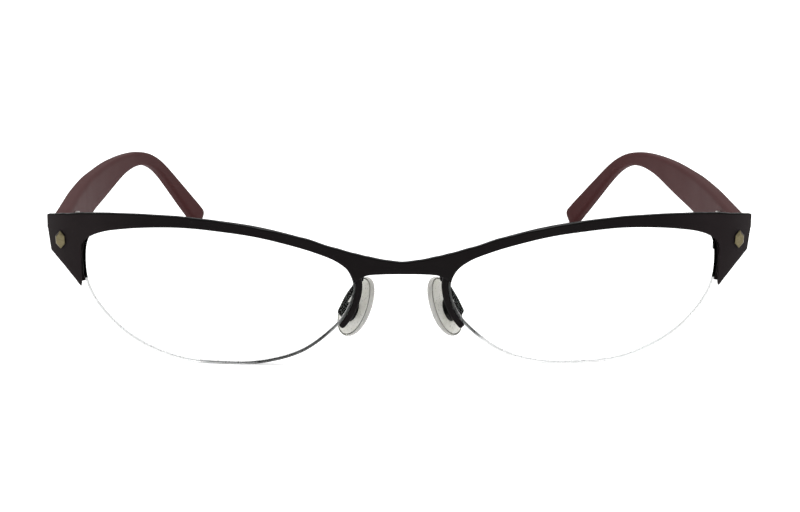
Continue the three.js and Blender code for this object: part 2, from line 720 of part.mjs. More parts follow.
function templeShape(floor) {
  const outer = templeKnots(0, 1).map((share) => {
    const station = templeStation(share);
    const radius = Math.min(station.halfThick, station.halfHigh) * TEMPLE_CORNER_SHARE;
    return templeRing(station, roundedSection(station.halfThick, station.halfHigh, radius));
  });
  const end = templeStation(1);
  const nose = [1, 2, 3].map((step) => {
    const angle = step * RIGHT_ANGLE / 4;
    const along = end.halfHigh * Math.sin(angle);
    const [thick, high] = [end.halfThick * Math.cos(angle), end.halfHigh * Math.cos(angle)];
    const place = { ...end, centre: end.centre.clone().addScaledVector(end.tangent, along) };
    return templeRing(place, roundedSection(thick, high, Math.min(thick, high) * TEMPLE_CORNER_SHARE));
  });
  const tip = [end.centre.clone().addScaledVector(end.tangent, end.halfHigh)];
  const bar = loft([...outer, ...nose, tip]);
  const cavity = loft(templeKnots(0, CAVITY_END_SHARE)
    .map((share) => templeRing(templeStation(share), coreSection(share, CORE_GAP))));
  const holes = pegPlaces.map((back) => acrossPeg(PEG_RADIUS + FIT_GAP, leafInner, templeSpread, back));
  const mitre = frontKeepOut(PLATE_THICKNESS + FIT_GAP + HINGE_BASE + BUTT_GAP);
  return cut(bar, cavity, mitre, ...holes, ...floor);
}

function templeCoreShape() {
  const shares = templeKnots(CORE_START_SHARE, CORE_END_SHARE);
  return loft(shares.map((share) => templeRing(templeStation(share), coreSection(share, 0))));
}

// Nose pad frame: X away from the nose, Y back, Z up along the pad; its origin is the middle of the
// insert, on the side that faces the box
const padFrame = new THREE.Matrix4().makeRotationFromEuler(new THREE.Euler(
  THREE.MathUtils.degToRad(PAD_TILT_DEGREES),
  -THREE.MathUtils.degToRad(PAD_FRONTAL_DEGREES),
  -THREE.MathUtils.degToRad(PAD_SPLAY_DEGREES),
  'YXZ',
)).setPosition(noseSide + PAD_OUT, PAD_BACK, -PAD_DOWN);
const atPad = (geometry) => geometry.applyMatrix4(padFrame);
const padPoint = (x, y, z) => new THREE.Vector3(x, y, z).applyMatrix4(padFrame);

function padRing(length, width, depth, drop, rise = 0) {
  return Array.from({ length: PAD_POINTS }, (_, k) => {
    const angle = k * 2 * Math.PI / PAD_POINTS;
    const fuller = 1 - drop * Math.sin(angle);
    const up = rise + length / 2 * Math.sin(angle);
    return new THREE.Vector3(-depth, fuller * width / 2 * Math.cos(angle), up);
  });
}

const pocketDepth = INSERT_THICKNESS + 2 * FIT_GAP;

function nosePadShape() {
  const pocket = (depth) => padRing(INSERT_LENGTH + 2 * FIT_GAP, INSERT_WIDTH + 2 * FIT_GAP, depth, 0);
  const body = ([share, depth]) => (
    padRing(PAD_LENGTH * share, PAD_WIDTH * share, PAD_THICKNESS * depth, PAD_FULLER_SHARE, PAD_RISE));
  return atPad(loft([
    [new THREE.Vector3(-pocketDepth, 0, 0)], pocket(pocketDepth), pocket(0),
    ...padShares.map(body),
    [new THREE.Vector3(-PAD_THICKNESS, 0, PAD_RISE)],
  ]));
}

// Drawn in the plane of the pad's X and Z and made thick along its Y, about the pad screw
function acrossPad(shape, halfThickness) {
  return slab(shape, -halfThickness, halfThickness).rotateX(RIGHT_ANGLE);
}

function acrossPadPost(radius, from, to) {
  const cylinder = new THREE.CylinderGeometry(radius, radius, to - from, ROUND);
  return cylinder.translate(LUG_REACH, (from + to) / 2, 0);
}

function padInsertShape() {
  const from = pocketDepth - FIT_GAP;
  const plate = loft([
    padRing(INSERT_LENGTH, INSERT_WIDTH, from, 0),
    padRing(INSERT_LENGTH, INSERT_WIDTH, from - INSERT_THICKNESS, 0),
  ]);
  const stem = acrossPad(polygon([
    [-from / 2, -LUG_RADIUS], [LUG_REACH, -LUG_RADIUS], [LUG_REACH, LUG_RADIUS], [-from / 2, LUG_RADIUS],
  ]), LUG_THICKNESS / 2);
  const end = acrossPadPost(LUG_RADIUS, -LUG_THICKNESS / 2, LUG_THICKNESS / 2);
  const bore = acrossPadPost(PAD_SCREW_RADIUS + FIT_GAP, -OVERRUN, OVERRUN);
  return atPad(cut(join(plate, stem, end), bore));
}

const slotHalf = LUG_THICKNESS / 2 + RUNNING_GAP;
const boxHalf = slotHalf + BOX_CHEEK;
const boxFloorInside = LUG_REACH + LUG_RADIUS + 2 * FIT_GAP;
const boxBack = boxFloorInside + BOX_FLOOR;

function padBoxShape() {
  const half = BOX_LENGTH / 2;
  const body = block(BOX_MOUTH, boxBack, -boxHalf, boxHalf, -half, half);
  const slot = block(BOX_MOUTH - OVERRUN, boxFloorInside, -slotHalf, slotHalf, -OVERRUN, OVERRUN);
  const bore = acrossPadPost(PAD_SCREW_RADIUS + FIT_GAP, -OVERRUN, OVERRUN);
  return atPad(cut(body, slot, bore));
}

function padScrewShape() {
  const shank = acrossPadPost(PAD_SCREW_RADIUS, -boxHalf, boxHalf + 2 * FIT_GAP);
  const head = acrossPadPost(PAD_HEAD_RADIUS, boxHalf + FIT_GAP, boxHalf + FIT_GAP + PAD_HEAD_THICKNESS);
  return atPad(join(shank, head));
}

// Arm: wire from the leg of the eyewire, back and out, down along the floor of the box
function padArmShape() {
  const start = onFront(noseSide - ARM_IN, ARM_UP, rimBack + FIT_GAP);
  const lead = onFront(noseSide - ARM_IN, ARM_UP, rimBack + FIT_GAP + ARM_LEAD);
  const wireLine = boxBack + FIT_GAP + WIRE_RADIUS;
  const half = BOX_LENGTH / 2;
  const path = new THREE.CatmullRomCurve3([
    start, lead, padPoint(wireLine, 0, 2 * half), padPoint(wireLine, 0, half),
    padPoint(wireLine, 0, -half * ARM_END_SHARE),
  ], false, 'centripetal');
  const circle = new THREE.Shape(Array.from({ length: WIRE_SIDES }, (_, k) => {
    const angle = k * 2 * Math.PI / WIRE_SIDES;
    return new THREE.Vector2(WIRE_RADIUS * Math.cos(angle), WIRE_RADIUS * Math.sin(angle));
  }));
  return new THREE.ExtrudeGeometry(circle, { steps: WIRE_STEPS, extrudePath: path, bevelEnabled: false });
}

// Materials
const finish = (color, roughness, metalness, opacity = 1) => new THREE.MeshStandardMaterial({
  color, roughness, metalness, opacity, transparent: opacity < 1,
});
const blackMetal = finish(0x1f1b1c, 0.45, 0.5);
const burgundy = finish(0x4c262c, 0.35, 0);
const bronze = finish(0x62593f, 0.35, 0.9);
const steel = finish(0x8f8d88, 0.3, 0.9);
const clearLens = finish(0xe4eaea, 0.05, 0, 0.25);
const nylon = finish(0xd8d8d4, 0.3, 0, 0.7);
const softPad = finish(0xc6c5bb, 0.25, 0, 0.6);

// Standing: the whole frame rests on its two lenses and the two temple tips. The tilt is the one at
// which the tips would reach the depth of their flats below the lowest points of the lenses
const lens = lensShape();
const wholeTemple = templeShape([]);

function lowest(geometry, tilt) {
  const place = geometry.attributes.position;
  const point = new THREE.Vector3();
  let low = null;
  for (let i = 0; i < place.count; i += 1) {
    point.fromBufferAttribute(place, i);
    const height = point.clone().applyAxisAngle(X_AXIS, -tilt).z;
    if (!low || height < low.height) low = { height, point: point.clone() };
  }
  return low;
}

let tilt = 0;
for (let round = 0; round < 4; round += 1) {
  const [rest, tip] = [lowest(lens, tilt), lowest(wholeTemple, tilt)];
  const excess = tip.height + FOOT_FLAT - rest.height;
  tilt += excess / (tip.point.y - rest.point.y);
}
const floorHeight = lowest(lens, tilt).height;
const floor = block(-2 * frontEnd, 2 * frontEnd, 0, 2 * TEMPLE_REACH, floorHeight - OVERRUN, floorHeight)
  .rotateX(tilt);

// Assembly
const group = new THREE.Group();

function place(name, geometry, material) {
  const mesh = new THREE.Mesh(geometry, material);
  mesh.name = name;
  group.add(mesh);
}

place('front_plate', frontPlateShape(), blackMetal);
const sidePieces = [
  ['eyewire', eyewireShape(), blackMetal],
  ['rim_liner', linerShape(), nylon],
  ['lens', lens, clearLens],
  ['lens_cord', cordShape(), nylon],
  ['endpiece_stud', studShape(), bronze],
  ['hinge_front', hingeFrontShape(), blackMetal],
  ['hinge_screw', hingeScrewShape(), steel],
  ['hinge_temple', hingeTempleShape(), steel],
  ['temple', templeShape([floor]), burgundy],
  ['temple_core', templeCoreShape(), steel],
  ['pad_arm', toGeometry(toSolid(padArmShape())), blackMetal],
  ['pad_box', padBoxShape(), steel],
  ['pad_screw', padScrewShape(), steel],
  ['pad_insert', padInsertShape(), steel],
  ['nose_pad', nosePadShape(), softPad],
];
sidePieces.forEach(([name, geometry, material]) => {
  place(`${name}_left`, geometry, material);
  place(`${name}_right`, mirrored(geometry), material);
});

group.rotation.x = -tilt;
group.updateMatrixWorld(true);
const bounds = new THREE.Box3().setFromObject(group, true);
group.position.set(0, -(bounds.min.y + bounds.max.y) / 2, -floorHeight);

export default group;
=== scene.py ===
# %% [markdown]
# # Half-rim eyeglass frame
# The object is a pair of eyeglasses with a black metal brow across the top, clear lenses held below by
# a nylon cord, clear nose pads, and burgundy plastic temples on small screw hinges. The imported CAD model
# is the frame for everything here: it says where each part is and how it moves. It could be shown as it
# is, but its curves have few faces, so the visible parts are made again, finely, on the same curves.

# %% Load the frame
import json
import math

import bmesh
import bpy
import numpy as np
from mathutils import Matrix, Vector


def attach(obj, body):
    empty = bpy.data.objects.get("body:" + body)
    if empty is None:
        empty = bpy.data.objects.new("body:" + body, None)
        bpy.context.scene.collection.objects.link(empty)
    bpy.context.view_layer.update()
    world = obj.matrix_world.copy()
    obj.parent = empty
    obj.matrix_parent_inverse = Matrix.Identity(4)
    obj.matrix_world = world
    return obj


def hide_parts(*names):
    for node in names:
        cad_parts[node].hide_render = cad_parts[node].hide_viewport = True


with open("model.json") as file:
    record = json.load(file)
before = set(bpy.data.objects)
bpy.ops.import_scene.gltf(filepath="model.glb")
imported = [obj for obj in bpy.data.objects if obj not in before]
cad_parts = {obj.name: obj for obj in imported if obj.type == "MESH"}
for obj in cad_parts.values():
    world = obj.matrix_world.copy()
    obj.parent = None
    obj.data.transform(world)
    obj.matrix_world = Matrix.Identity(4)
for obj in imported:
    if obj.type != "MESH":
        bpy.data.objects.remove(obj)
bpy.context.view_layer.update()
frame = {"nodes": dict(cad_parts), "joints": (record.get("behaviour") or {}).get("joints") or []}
nodes = frame["nodes"]
SIDES = {"left": 1, "right": -1}

# %% [markdown]
# ## The drawing frame
# Opticians measure a front lying square to the face, in millimetres: lens width, bridge, lens height.
# The finished glasses stand on their lenses and temple tips, so the drawing is tipped by a few degrees.
# That tilt could be typed in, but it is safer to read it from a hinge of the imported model: the pin is
# upright in the drawing and leans in the model by exactly the tilt.

# %% Sizes of the front, in millimetres
LENS_WIDTH = 53
LENS_HEIGHT = 29
BRIDGE_GAP = 18
END_WIDTH = 7.2
LENS_DROP = 0.6
LENS_RADIUS = 131
FACE_FORM = math.tan(math.radians(6))
PANTO = math.radians(8)
END_BEND_START = 0.6
END_BEND_RUN = 6.3
END_WRAP = math.tan(math.radians(47.7))

nose_side = BRIDGE_GAP / 2
temple_side = nose_side + LENS_WIDTH
front_end = temple_side + END_WIDTH
lens_turn = LENS_WIDTH / 2 / LENS_RADIUS
slope_reach = [0, nose_side, temple_side, temple_side + END_BEND_START]
slope_reach += [slope_reach[-1] + END_BEND_RUN, front_end + 30]
slope_value = [0, FACE_FORM - lens_turn, FACE_FORM + lens_turn, FACE_FORM + lens_turn, END_WRAP, END_WRAP]
runs = np.diff(slope_reach) * (np.array(slope_value[1:]) + slope_value[:-1]) / 2
sag_at = np.concatenate([[0], np.cumsum(runs)])


def face_curve(across):
    """How far back the front has curved at a distance from the middle, and its slope there."""
    reach = np.abs(across)
    k = np.clip(np.searchsorted(slope_reach, reach, side="right") - 1, 0, len(slope_reach) - 2)
    slope = np.interp(reach, slope_reach, slope_value)
    start = np.array(slope_reach)[k]
    sag = sag_at[k] + (reach - start) * (np.array(slope_value)[k] + slope) / 2
    return sag, slope * np.sign(across)


def on_front(across, up, depth):
    """Points of the front, bent to the face, from across and up on the drawing and depth behind it."""
    across, up, depth = (np.array(v, float) for v in np.broadcast_arrays(across, up, depth))
    sag, slope = face_curve(across)
    bend = np.sign(slope) * np.maximum(np.abs(slope) - FACE_FORM - lens_turn, 0)
    normal = np.stack([-bend, np.ones_like(bend), -up / LENS_RADIUS], -1)
    normal /= np.linalg.norm(normal, axis=-1, keepdims=True)
    points = np.stack([across, sag + up * up / (2 * LENS_RADIUS), up], -1) + normal * depth[..., None]
    turn = np.array(Matrix.Rotation(PANTO, 3, "X"))
    return points @ turn.T


print("front", round(2 * front_end, 1), "mm, curves back",
      round(float(face_curve(front_end)[0]), 2), "mm")

# %% Smooth tables
def smooth_table(rows):
    """Values of a table between its rows, on a curve that leaves both ends straight."""
    rows = np.array(rows, float)
    at, values = rows[:, 0], rows[:, 1:]

    def value(x):
        x = min(max(x, at[0]), at[-1])
        k = min(int(np.searchsorted(at, x, side="right")), len(at) - 1)
        before, start, end, after = max(k - 2, 0), k - 1, k, min(k + 1, len(at) - 1)
        step = at[end] - at[start]
        first = step / 2 / (step if k < 2 else step + at[start] - at[before])
        last = step / 2 / (step if k > len(at) - 2 else step + at[after] - at[end])
        if k < 2:
            before, first = end, step / 2 / (at[start] - at[end])
        if k > len(at) - 2:
            after, last = start, step / 2 / (at[start] - at[end])
        p = (x - at[start]) / step
        wb = -first * p**3 + 2 * first * p**2 - first * p
        ws = (1 + first) * p**3 + (-1.5 - 2 * first) * p**2 + (-0.5 + first) * p + 1
        we = (-1 - last) * p**3 + (1.5 + last) * p**2 + 0.5 * p
        wa = last * p**3 - last * p**2
        return wb * values[before] + ws * values[start] + we * values[end] + wa * values[after]

    return value


def smooth_path(points, closed):
    """Position and direction at a share of a turn along a curve through the points."""
    points = np.array(points, float)
    count = len(points)
    if not closed:
        points = np.vstack([2 * points[0] - points[1], points, 2 * points[-1] - points[-2]])

    def at(turn):
        run = (turn % 1.0) * count if closed else turn * (count - 1)
        k = int(run) if closed else min(int(run), count - 2)
        w = run - k
        a, b, c, d = (points[(k + n) % len(points)] for n in ((-1, 0, 1, 2) if closed else (0, 1, 2, 3)))
        ab, bc, cd = (math.sqrt(np.linalg.norm(q - p)) for p, q in ((a, b), (b, c), (c, d)))
        start = ((b - a) / ab - (c - a) / (ab + bc) + (c - b) / bc) * bc
        end = ((c - b) / bc - (d - b) / (bc + cd) + (d - c) / cd) * bc
        square, cube = -3 * b + 3 * c - 2 * start - end, 2 * b - 2 * c + start + end
        return b + start * w + square * w**2 + cube * w**3, start + 2 * square * w + 3 * cube * w**2

    return at


# %% Lens edge and top edge of the brow
LENS_SHARES = [
    (1, 0.35), (0.985, 0.66), (0.945, 0.8), (0.85, 0.885), (0.7, 0.94), (0.47, 0.985), (0.24, 1),
    (-0.01, 0.968), (-0.26, 0.908), (-0.49, 0.81), (-0.7, 0.69), (-0.86, 0.56), (-0.95, 0.42),
    (-1, 0.2), (-0.987, -0.03), (-0.925, -0.285), (-0.8, -0.54), (-0.6, -0.81), (-0.3, -0.975),
    (0, -1), (0.27, -0.968), (0.52, -0.82), (0.73, -0.58), (0.9, -0.235), (0.98, 0.07),
]
BROW_TOP = [
    (-0.39, 0.541), (0, 0.51), (0.39, 0.541), (0.78, 0.597), (1, 0.638), (1.08, 0.73), (1.19, 0.868),
    (1.305, 0.968), (1.42, 1.045), (1.534, 1.098), (1.649, 1.125), (1.782, 1.124), (1.897, 1.106),
    (2, 1.074), (2.55, 1.022), (3, 0.95),
]
half_wide, half_high = LENS_WIDTH / 2, LENS_HEIGHT / 2
lens_centre = np.array([nose_side + half_wide, -LENS_DROP])
lens_path = smooth_path([lens_centre + np.array(s) * (half_wide, half_high) for s in LENS_SHARES], True)


def lens_edge(turn, outward=0):
    """A point of the lens outline at a share of its turn, moved outward in the drawing."""
    point, along = lens_path(turn)
    along = along / np.linalg.norm(along)
    return point + np.array([along[1], -along[0]]) * outward


def station_across(station):
    """Station 0 is the middle of the bridge, 1 and 2 the sides of the lens, 3 the end of the front."""
    return float(np.interp(station, [-1, 0, 1, 2, 3], [-nose_side, 0, nose_side, temple_side, front_end]))


def along_front(rows):
    return smooth_table([(station_across(station), *rest) for station, *rest in rows])


def front_point(across, height):
    return np.array([across, lens_centre[1] + height * half_high])


brow_top = along_front(BROW_TOP)
end_top = front_point(front_end, brow_top(front_end)[0])[1]
end_sag = float(face_curve(front_end)[0])
print("end of the front: top", round(end_top, 3), "sag", round(end_sag, 3))

# %% Stand the drawing on the floor
TEMPLE_THICKNESS = 3.2
TEMPLE_FROM_END = 2.5
FIT_GAP = 0.1
LEAF_THICKNESS = 0.8
BARREL_RADIUS = 1.15
KNUCKLE_GAP = 0.1
HINGE_BEHIND = 1.52
HINGE_DOWN = 3.2

temple_spread = front_end - TEMPLE_FROM_END
leaf_inner = temple_spread - TEMPLE_THICKNESS / 2 - FIT_GAP - LEAF_THICKNESS
pin_across = leaf_inner - BARREL_RADIUS - KNUCKLE_GAP / 2
pin = np.array([pin_across, end_sag + HINGE_BEHIND, end_top - HINGE_DOWN])
fold = next(joint for joint in frame["joints"] if joint["name"] == "temple_fold_left")
tilt = math.atan2(fold["axis"][1], fold["axis"][2])
stand_turn = np.array(Matrix.Rotation(-tilt, 3, "X"))
stand_move = np.array(fold["pos_m"]) * 1000 - stand_turn @ pin


def stand(points):
    """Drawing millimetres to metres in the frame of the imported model."""
    return (np.array(points, float) @ stand_turn.T + stand_move) / 1000


print("tilt", round(math.degrees(tilt), 3), "degrees, moved", stand_move.round(3))

# %% [markdown]
# ## The camera
# The photograph is taken from in front, a little above and almost on the middle line, with a long lens.
# The camera could be placed by eye. Here its place was worked out from the outline in the picture, so
# it is given as a direction and a distance in the drawing frame, where the front is square.

# %% Camera
VIEW_TURN = math.radians(-1.9061)
VIEW_HEIGHT = math.radians(12.0768)
VIEW_ROLL = math.radians(0.34)
VIEW_TARGET = np.array([-0.473, 0, 7.98])
VIEW_DISTANCE = 424.68
PIXELS_PER_MM = 5.183
SENSOR_WIDTH = 36
IMAGE_WIDTH = 800


def add_object(name, data):
    made = bpy.data.objects.new(name, data)
    bpy.context.scene.collection.objects.link(made)
    return made


back = np.array([
    math.sin(VIEW_TURN) * math.cos(VIEW_HEIGHT), -math.cos(VIEW_TURN) * math.cos(VIEW_HEIGHT),
    math.sin(VIEW_HEIGHT),
])
right = np.cross(-back, (0, 0, 1))
right /= np.linalg.norm(right)
above = np.cross(right, -back)
rolled_right = right * math.cos(VIEW_ROLL) + above * math.sin(VIEW_ROLL)
rolled_above = above * math.cos(VIEW_ROLL) - right * math.sin(VIEW_ROLL)
axes = stand_turn @ np.stack([rolled_right, rolled_above, back], -1)
camera_place = Matrix(axes.tolist()).to_4x4()
camera_place.translation = Vector(stand(VIEW_TARGET + back * VIEW_DISTANCE))
camera_data = bpy.data.cameras.new("camera")
camera_data.sensor_width = SENSOR_WIDTH
camera_data.lens = SENSOR_WIDTH * PIXELS_PER_MM * VIEW_DISTANCE / IMAGE_WIDTH
camera_data.clip_start = 0.01
camera = add_object("camera", camera_data)
camera.matrix_world = camera_place
bpy.context.scene.camera = camera
print("camera", [round(v, 4) for v in camera.location], "lens", round(camera_data.lens, 1), "mm")

# %% [markdown]
# ## Light, floor and background
# A catalogue picture of glasses is lit softly from above and from the sides, on white paper. The paper
# could be lit until it burns out, but that light would also wash out the black front. So lamps and world
# stay at a plain level for the object, and the camera, mirrors and glass are shown white beyond it.

# %% Studio
PLAIN_LEVEL = 0.55
FLOOR_HALF = 4


def new_material(name):
    material = bpy.data.materials.new(name)
    material.use_nodes = True
    return material, material.node_tree.nodes, material.node_tree.links


def operate(new, link, kind, operation, *values):
    """The output of a node of arithmetic on numbers and on the outputs of other nodes."""
    node = new(kind)
    node.operation = operation
    for socket, value in zip(node.inputs, values):
        if isinstance(value, (int, float)):
            socket.default_value = value
        else:
            link(value, socket)
    return node.outputs[0]


def seen_directly(tree, link):
    """1 for rays from the camera, off a shiny surface or through glass, and 0 for light on the object."""
    path = tree.new("ShaderNodeLightPath")
    seen = path.outputs["Is Camera Ray"]
    for ray in ("Is Glossy Ray", "Is Transmission Ray"):
        seen = operate(tree.new, link, "ShaderNodeMath", "MAXIMUM", seen, path.outputs[ray])
    return seen


def studio_world():
    world = bpy.data.worlds.new("studio")
    world.use_nodes = True
    tree, link = world.node_tree.nodes, world.node_tree.links.new
    white, lit = tree["Background"], tree.new("ShaderNodeBackground")
    mix = tree.new("ShaderNodeMixShader")
    for light, level in ((white, 1), (lit, PLAIN_LEVEL)):
        light.inputs["Color"].default_value = (1, 1, 1, 1)
        light.inputs["Strength"].default_value = level
    link(seen_directly(tree, link), mix.inputs[0])
    link(lit.outputs[0], mix.inputs[1])
    link(white.outputs[0], mix.inputs[2])
    link(mix.outputs[0], tree["World Output"].inputs[0])
    return world


bpy.context.scene.world = studio_world()
bpy.context.scene.view_settings.view_transform = "Standard"


def soft_light(name, place, aim, size, power):
    data = bpy.data.lights.new(name, "AREA")
    data.shape, data.size, data.size_y, data.energy = "RECTANGLE", *size, power
    lamp = add_object(name, data)
    lamp.location = place
    lamp.rotation_euler = (Vector(aim) - Vector(place)).to_track_quat("-Z", "Y").to_euler()


soft_light("overhead", (0, 0.15, 0.9), (0, 0, 0), (1.1, 0.8), 5)
for side_name, side in SIDES.items():
    soft_light(f"side_{side_name}", (side * 0.75, -0.2, 0.45), (0, 0, 0.02), (0.5, 0.5), 1.2)


def studio_floor():
    mesh = bpy.data.meshes.new("floor")
    corners = [(x * FLOOR_HALF, y * FLOOR_HALF, 0) for x, y in ((-1, -1), (1, -1), (1, 1), (-1, 1))]
    mesh.from_pydata(corners, [], [(0, 1, 2, 3)])
    material, tree, links = new_material("white_paper")
    paper = tree["Principled BSDF"]
    paper.inputs["Base Color"].default_value = (0.9, 0.9, 0.9, 1)
    paper.inputs["Roughness"].default_value = 0.9
    paper.inputs["Emission Color"].default_value = (1, 1, 1, 1)
    seen = seen_directly(tree, links.new)
    glow = operate(tree.new, links.new, "ShaderNodeMath", "MULTIPLY", seen, PLAIN_LEVEL)
    links.new(glow, paper.inputs["Emission Strength"])
    mesh.materials.append(material)
    return add_object("floor", mesh)


studio_floor()

# %% [markdown]
# ## Materials
# The front is metal under satin black lacquer, the temples are polished cellulose acetate, the studs
# dull bronze. Each finish could be one flat colour, but real ones vary: lacquer has a faint grain,
# acetate is cloudy in depth, metal is brushed. So each colour is broken up by noise on Object
# coordinates, which stay with the piece. The lacquer, the lens edge and the cord also get painted light
# and shade across the front from a ramp over the same coordinates, and dark materials are painted shade
# on the brow's top face, the lens edge in the channel, the pad boxes, inserts, liners and grooves, and
# some stud facets.

# %% Material helpers
def principled(name, color, roughness, **more):
    """A material with its shader; more sets other sockets, named in small letters."""
    material, tree, links = new_material(name)
    shader = tree["Principled BSDF"]
    shader.inputs["Base Color"].default_value = (*color, 1)
    shader.inputs["Roughness"].default_value = roughness
    for socket, value in more.items():
        shader.inputs[socket.replace("_", " ").title().replace("Ior", "IOR")].default_value = value
    return material, tree, links, shader


def noise(tree, links, scale, detail=3, stretch=(1, 1, 1)):
    where, place, texture = (tree.new(kind) for kind in (
        "ShaderNodeTexCoord", "ShaderNodeMapping", "ShaderNodeTexNoise"))
    place.inputs["Scale"].default_value = stretch
    texture.inputs["Scale"].default_value = scale
    texture.inputs["Detail"].default_value = detail
    links.new(where.outputs["Object"], place.inputs["Vector"])
    links.new(place.outputs[0], texture.inputs["Vector"])
    return texture.outputs["Fac"]


def vary(tree, links, fac, socket, low, high, from_range=(0.35, 0.65)):
    """Lets a noise move a colour or a number between two values."""
    span = tree.new("ShaderNodeMapRange")
    span.inputs["From Min"].default_value, span.inputs["From Max"].default_value = from_range
    links.new(fac, span.inputs["Value"])
    if isinstance(low, tuple):
        mix = tree.new("ShaderNodeMix")
        mix.data_type = "RGBA"
        mix.inputs[6].default_value, mix.inputs[7].default_value = (*low, 1), (*high, 1)
        links.new(span.outputs[0], mix.inputs[0])
        links.new(mix.outputs[2], socket)
    else:
        span.inputs["To Min"].default_value, span.inputs["To Max"].default_value = low, high
        links.new(span.outputs[0], socket)


def grain(tree, links, shader, fac, strength, distance):
    bump = tree.new("ShaderNodeBump")
    bump.inputs["Strength"].default_value = strength
    bump.inputs["Distance"].default_value = distance
    links.new(fac, bump.inputs["Height"])
    links.new(bump.outputs[0], shader.inputs["Normal"])


# %% Lacquer, acetate, metals
SHADE_REACH = 70


def paint_light_across(tree, links, socket, rows):
    """Paints light and shade by the place across the front, from rows of millimetres and brightness."""
    where, split, place, ramp = (tree.new(kind) for kind in (
        "ShaderNodeTexCoord", "ShaderNodeSeparateXYZ", "ShaderNodeMapRange", "ShaderNodeValToRGB"))
    links.new(where.outputs["Object"], split.inputs[0])
    links.new(split.outputs["X"], place.inputs["Value"])
    place.inputs["From Min"].default_value = -SHADE_REACH / 1000
    place.inputs["From Max"].default_value = SHADE_REACH / 1000
    links.new(place.outputs[0], ramp.inputs[0])
    stops = ramp.color_ramp.elements
    for k, (across, bright) in enumerate(rows):
        stop = stops[k] if k < 2 else stops.new(1)
        stop.position = (across + SHADE_REACH) / (2 * SHADE_REACH)
        stop.color = (bright, bright, bright, 1)
    links.new(ramp.outputs[0], socket)


def black_lacquer():
    material, tree, links, shader = principled(
        "black_lacquer", (0.005, 0.0038, 0.0042), 0.6, specular_ior_level=0.08)
    # Painted light: the lacquer is lighter at the ends of the front, where the endpieces turn to the
    # light, and darker between them.
    painted_end_light = tree.new("ShaderNodeVectorMath")
    painted_end_light.operation = "MULTIPLY"
    cloud = noise(tree, links, 60)
    vary(tree, links, cloud, painted_end_light.inputs[0], (0.0125, 0.0085, 0.0095), (0.0165, 0.0125, 0.013))
    paint_light_across(tree, links, painted_end_light.inputs[1], [(-60, 1), (-50, 0.36), (50, 0.36), (60, 1)])
    links.new(painted_end_light.outputs[0], shader.inputs["Base Color"])
    fine = noise(tree, links, 9000, 2)
    vary(tree, links, fine, shader.inputs["Roughness"], 0.56, 0.66)
    grain(tree, links, shader, fine, 0.12, 0.00002)
    return material


# A dark material for painted shade, put on parts that sit in shade.
def black_edge(name, color, level):
    material, tree, links, shader = principled(name, color, 0.4, specular_ior_level=level)
    vary(tree, links, noise(tree, links, 700), shader.inputs["Roughness"], 0.34, 0.5)
    return material


def burgundy_acetate():
    material, tree, links, shader = principled(
        "burgundy_acetate", (0.05, 0.014, 0.014), 0.62, specular_ior_level=0.08)
    cloud = noise(tree, links, 30, 3, (1, 0.35, 1))
    vary(tree, links, cloud, shader.inputs["Base Color"], (0.047, 0.0125, 0.0125),
         (0.053, 0.0145, 0.0145))
    vary(tree, links, noise(tree, links, 120, 2), shader.inputs["Roughness"], 0.62, 0.65)
    return material


def brushed_metal(name, color, roughness, stretch=(1, 1, 1)):
    material, tree, links, shader = principled(name, color, roughness, metallic=1)
    lines = noise(tree, links, 2500, 2, stretch)
    vary(tree, links, lines, shader.inputs["Base Color"], tuple(0.75 * v for v in color), color)
    vary(tree, links, lines, shader.inputs["Roughness"], roughness - 0.06, roughness + 0.08)
    grain(tree, links, shader, lines, 0.15, 0.00001)
    return material


lacquer, acetate = black_lacquer(), burgundy_acetate()
# Painted shade: black for the top face of the brow, the lens edge in the channel and the pad boxes; dark
# for the pad inserts and the clear nylon liners in the channel.
painted_shade_black = black_edge("black_edge", (0.002, 0.0015, 0.0015), 0.04)
insert_dark = black_edge("insert_dark", (0.008, 0.008, 0.007), 0.1)
liner_painted_shade = black_edge("liner_in_channel", (0.06, 0.058, 0.055), 0.1)
bronze = brushed_metal("dull_bronze", (0.17, 0.145, 0.083), 0.36)
painted_shade_bronze = brushed_metal("bronze_in_shade", (0.05, 0.04, 0.03), 0.36)
steel = brushed_metal("hinge_steel", (0.38, 0.37, 0.35), 0.3, (1, 0.1, 1))
print("lacquer and steel", len(lacquer.node_tree.nodes), len(steel.node_tree.nodes), "nodes")


# %% Lens, nylon and silicone
def lens_glass():
    """Clear, with a tint on its reflection for the coating that keeps glare off, and a light shadow."""
    material, tree, links, shader = principled("lens_glass", (0.99, 1, 0.995), 0, transmission_weight=1,
                                               ior=1.5, specular_tint=(0.15, 0.17, 0.16, 1))
    path, clear, mix = (tree.new(kind) for kind in (
        "ShaderNodeLightPath", "ShaderNodeBsdfTransparent", "ShaderNodeMixShader"))
    clear.inputs["Color"].default_value = (0.97, 0.98, 0.98, 1)
    links.new(path.outputs["Is Shadow Ray"], mix.inputs[0])
    links.new(shader.outputs[0], mix.inputs[1])
    links.new(clear.outputs[0], mix.inputs[2])
    links.new(mix.outputs[0], tree["Material Output"].inputs["Surface"])
    return material


# Painted light and shade on the ground lens edge and the nylon cord: brightness by millimetres across the
# front, standing in for the dark and light that they refract.
PAINTED_EDGE_SHADES = [
    (-48, 0.93), (-40, 0.93), (-38, 0.5), (-31, 0.4), (-28, 0.01), (-15, 0.02), (-13, 0.3), (-12.2, 0.5),
    (-11, 0.15), (-9, 0.05), (9, 0.05), (11, 0.15), (12.2, 0.4), (13.5, 0.2), (14.5, 0.2), (16, 0.97),
    (26, 1), (36, 1), (42, 0.95),
]


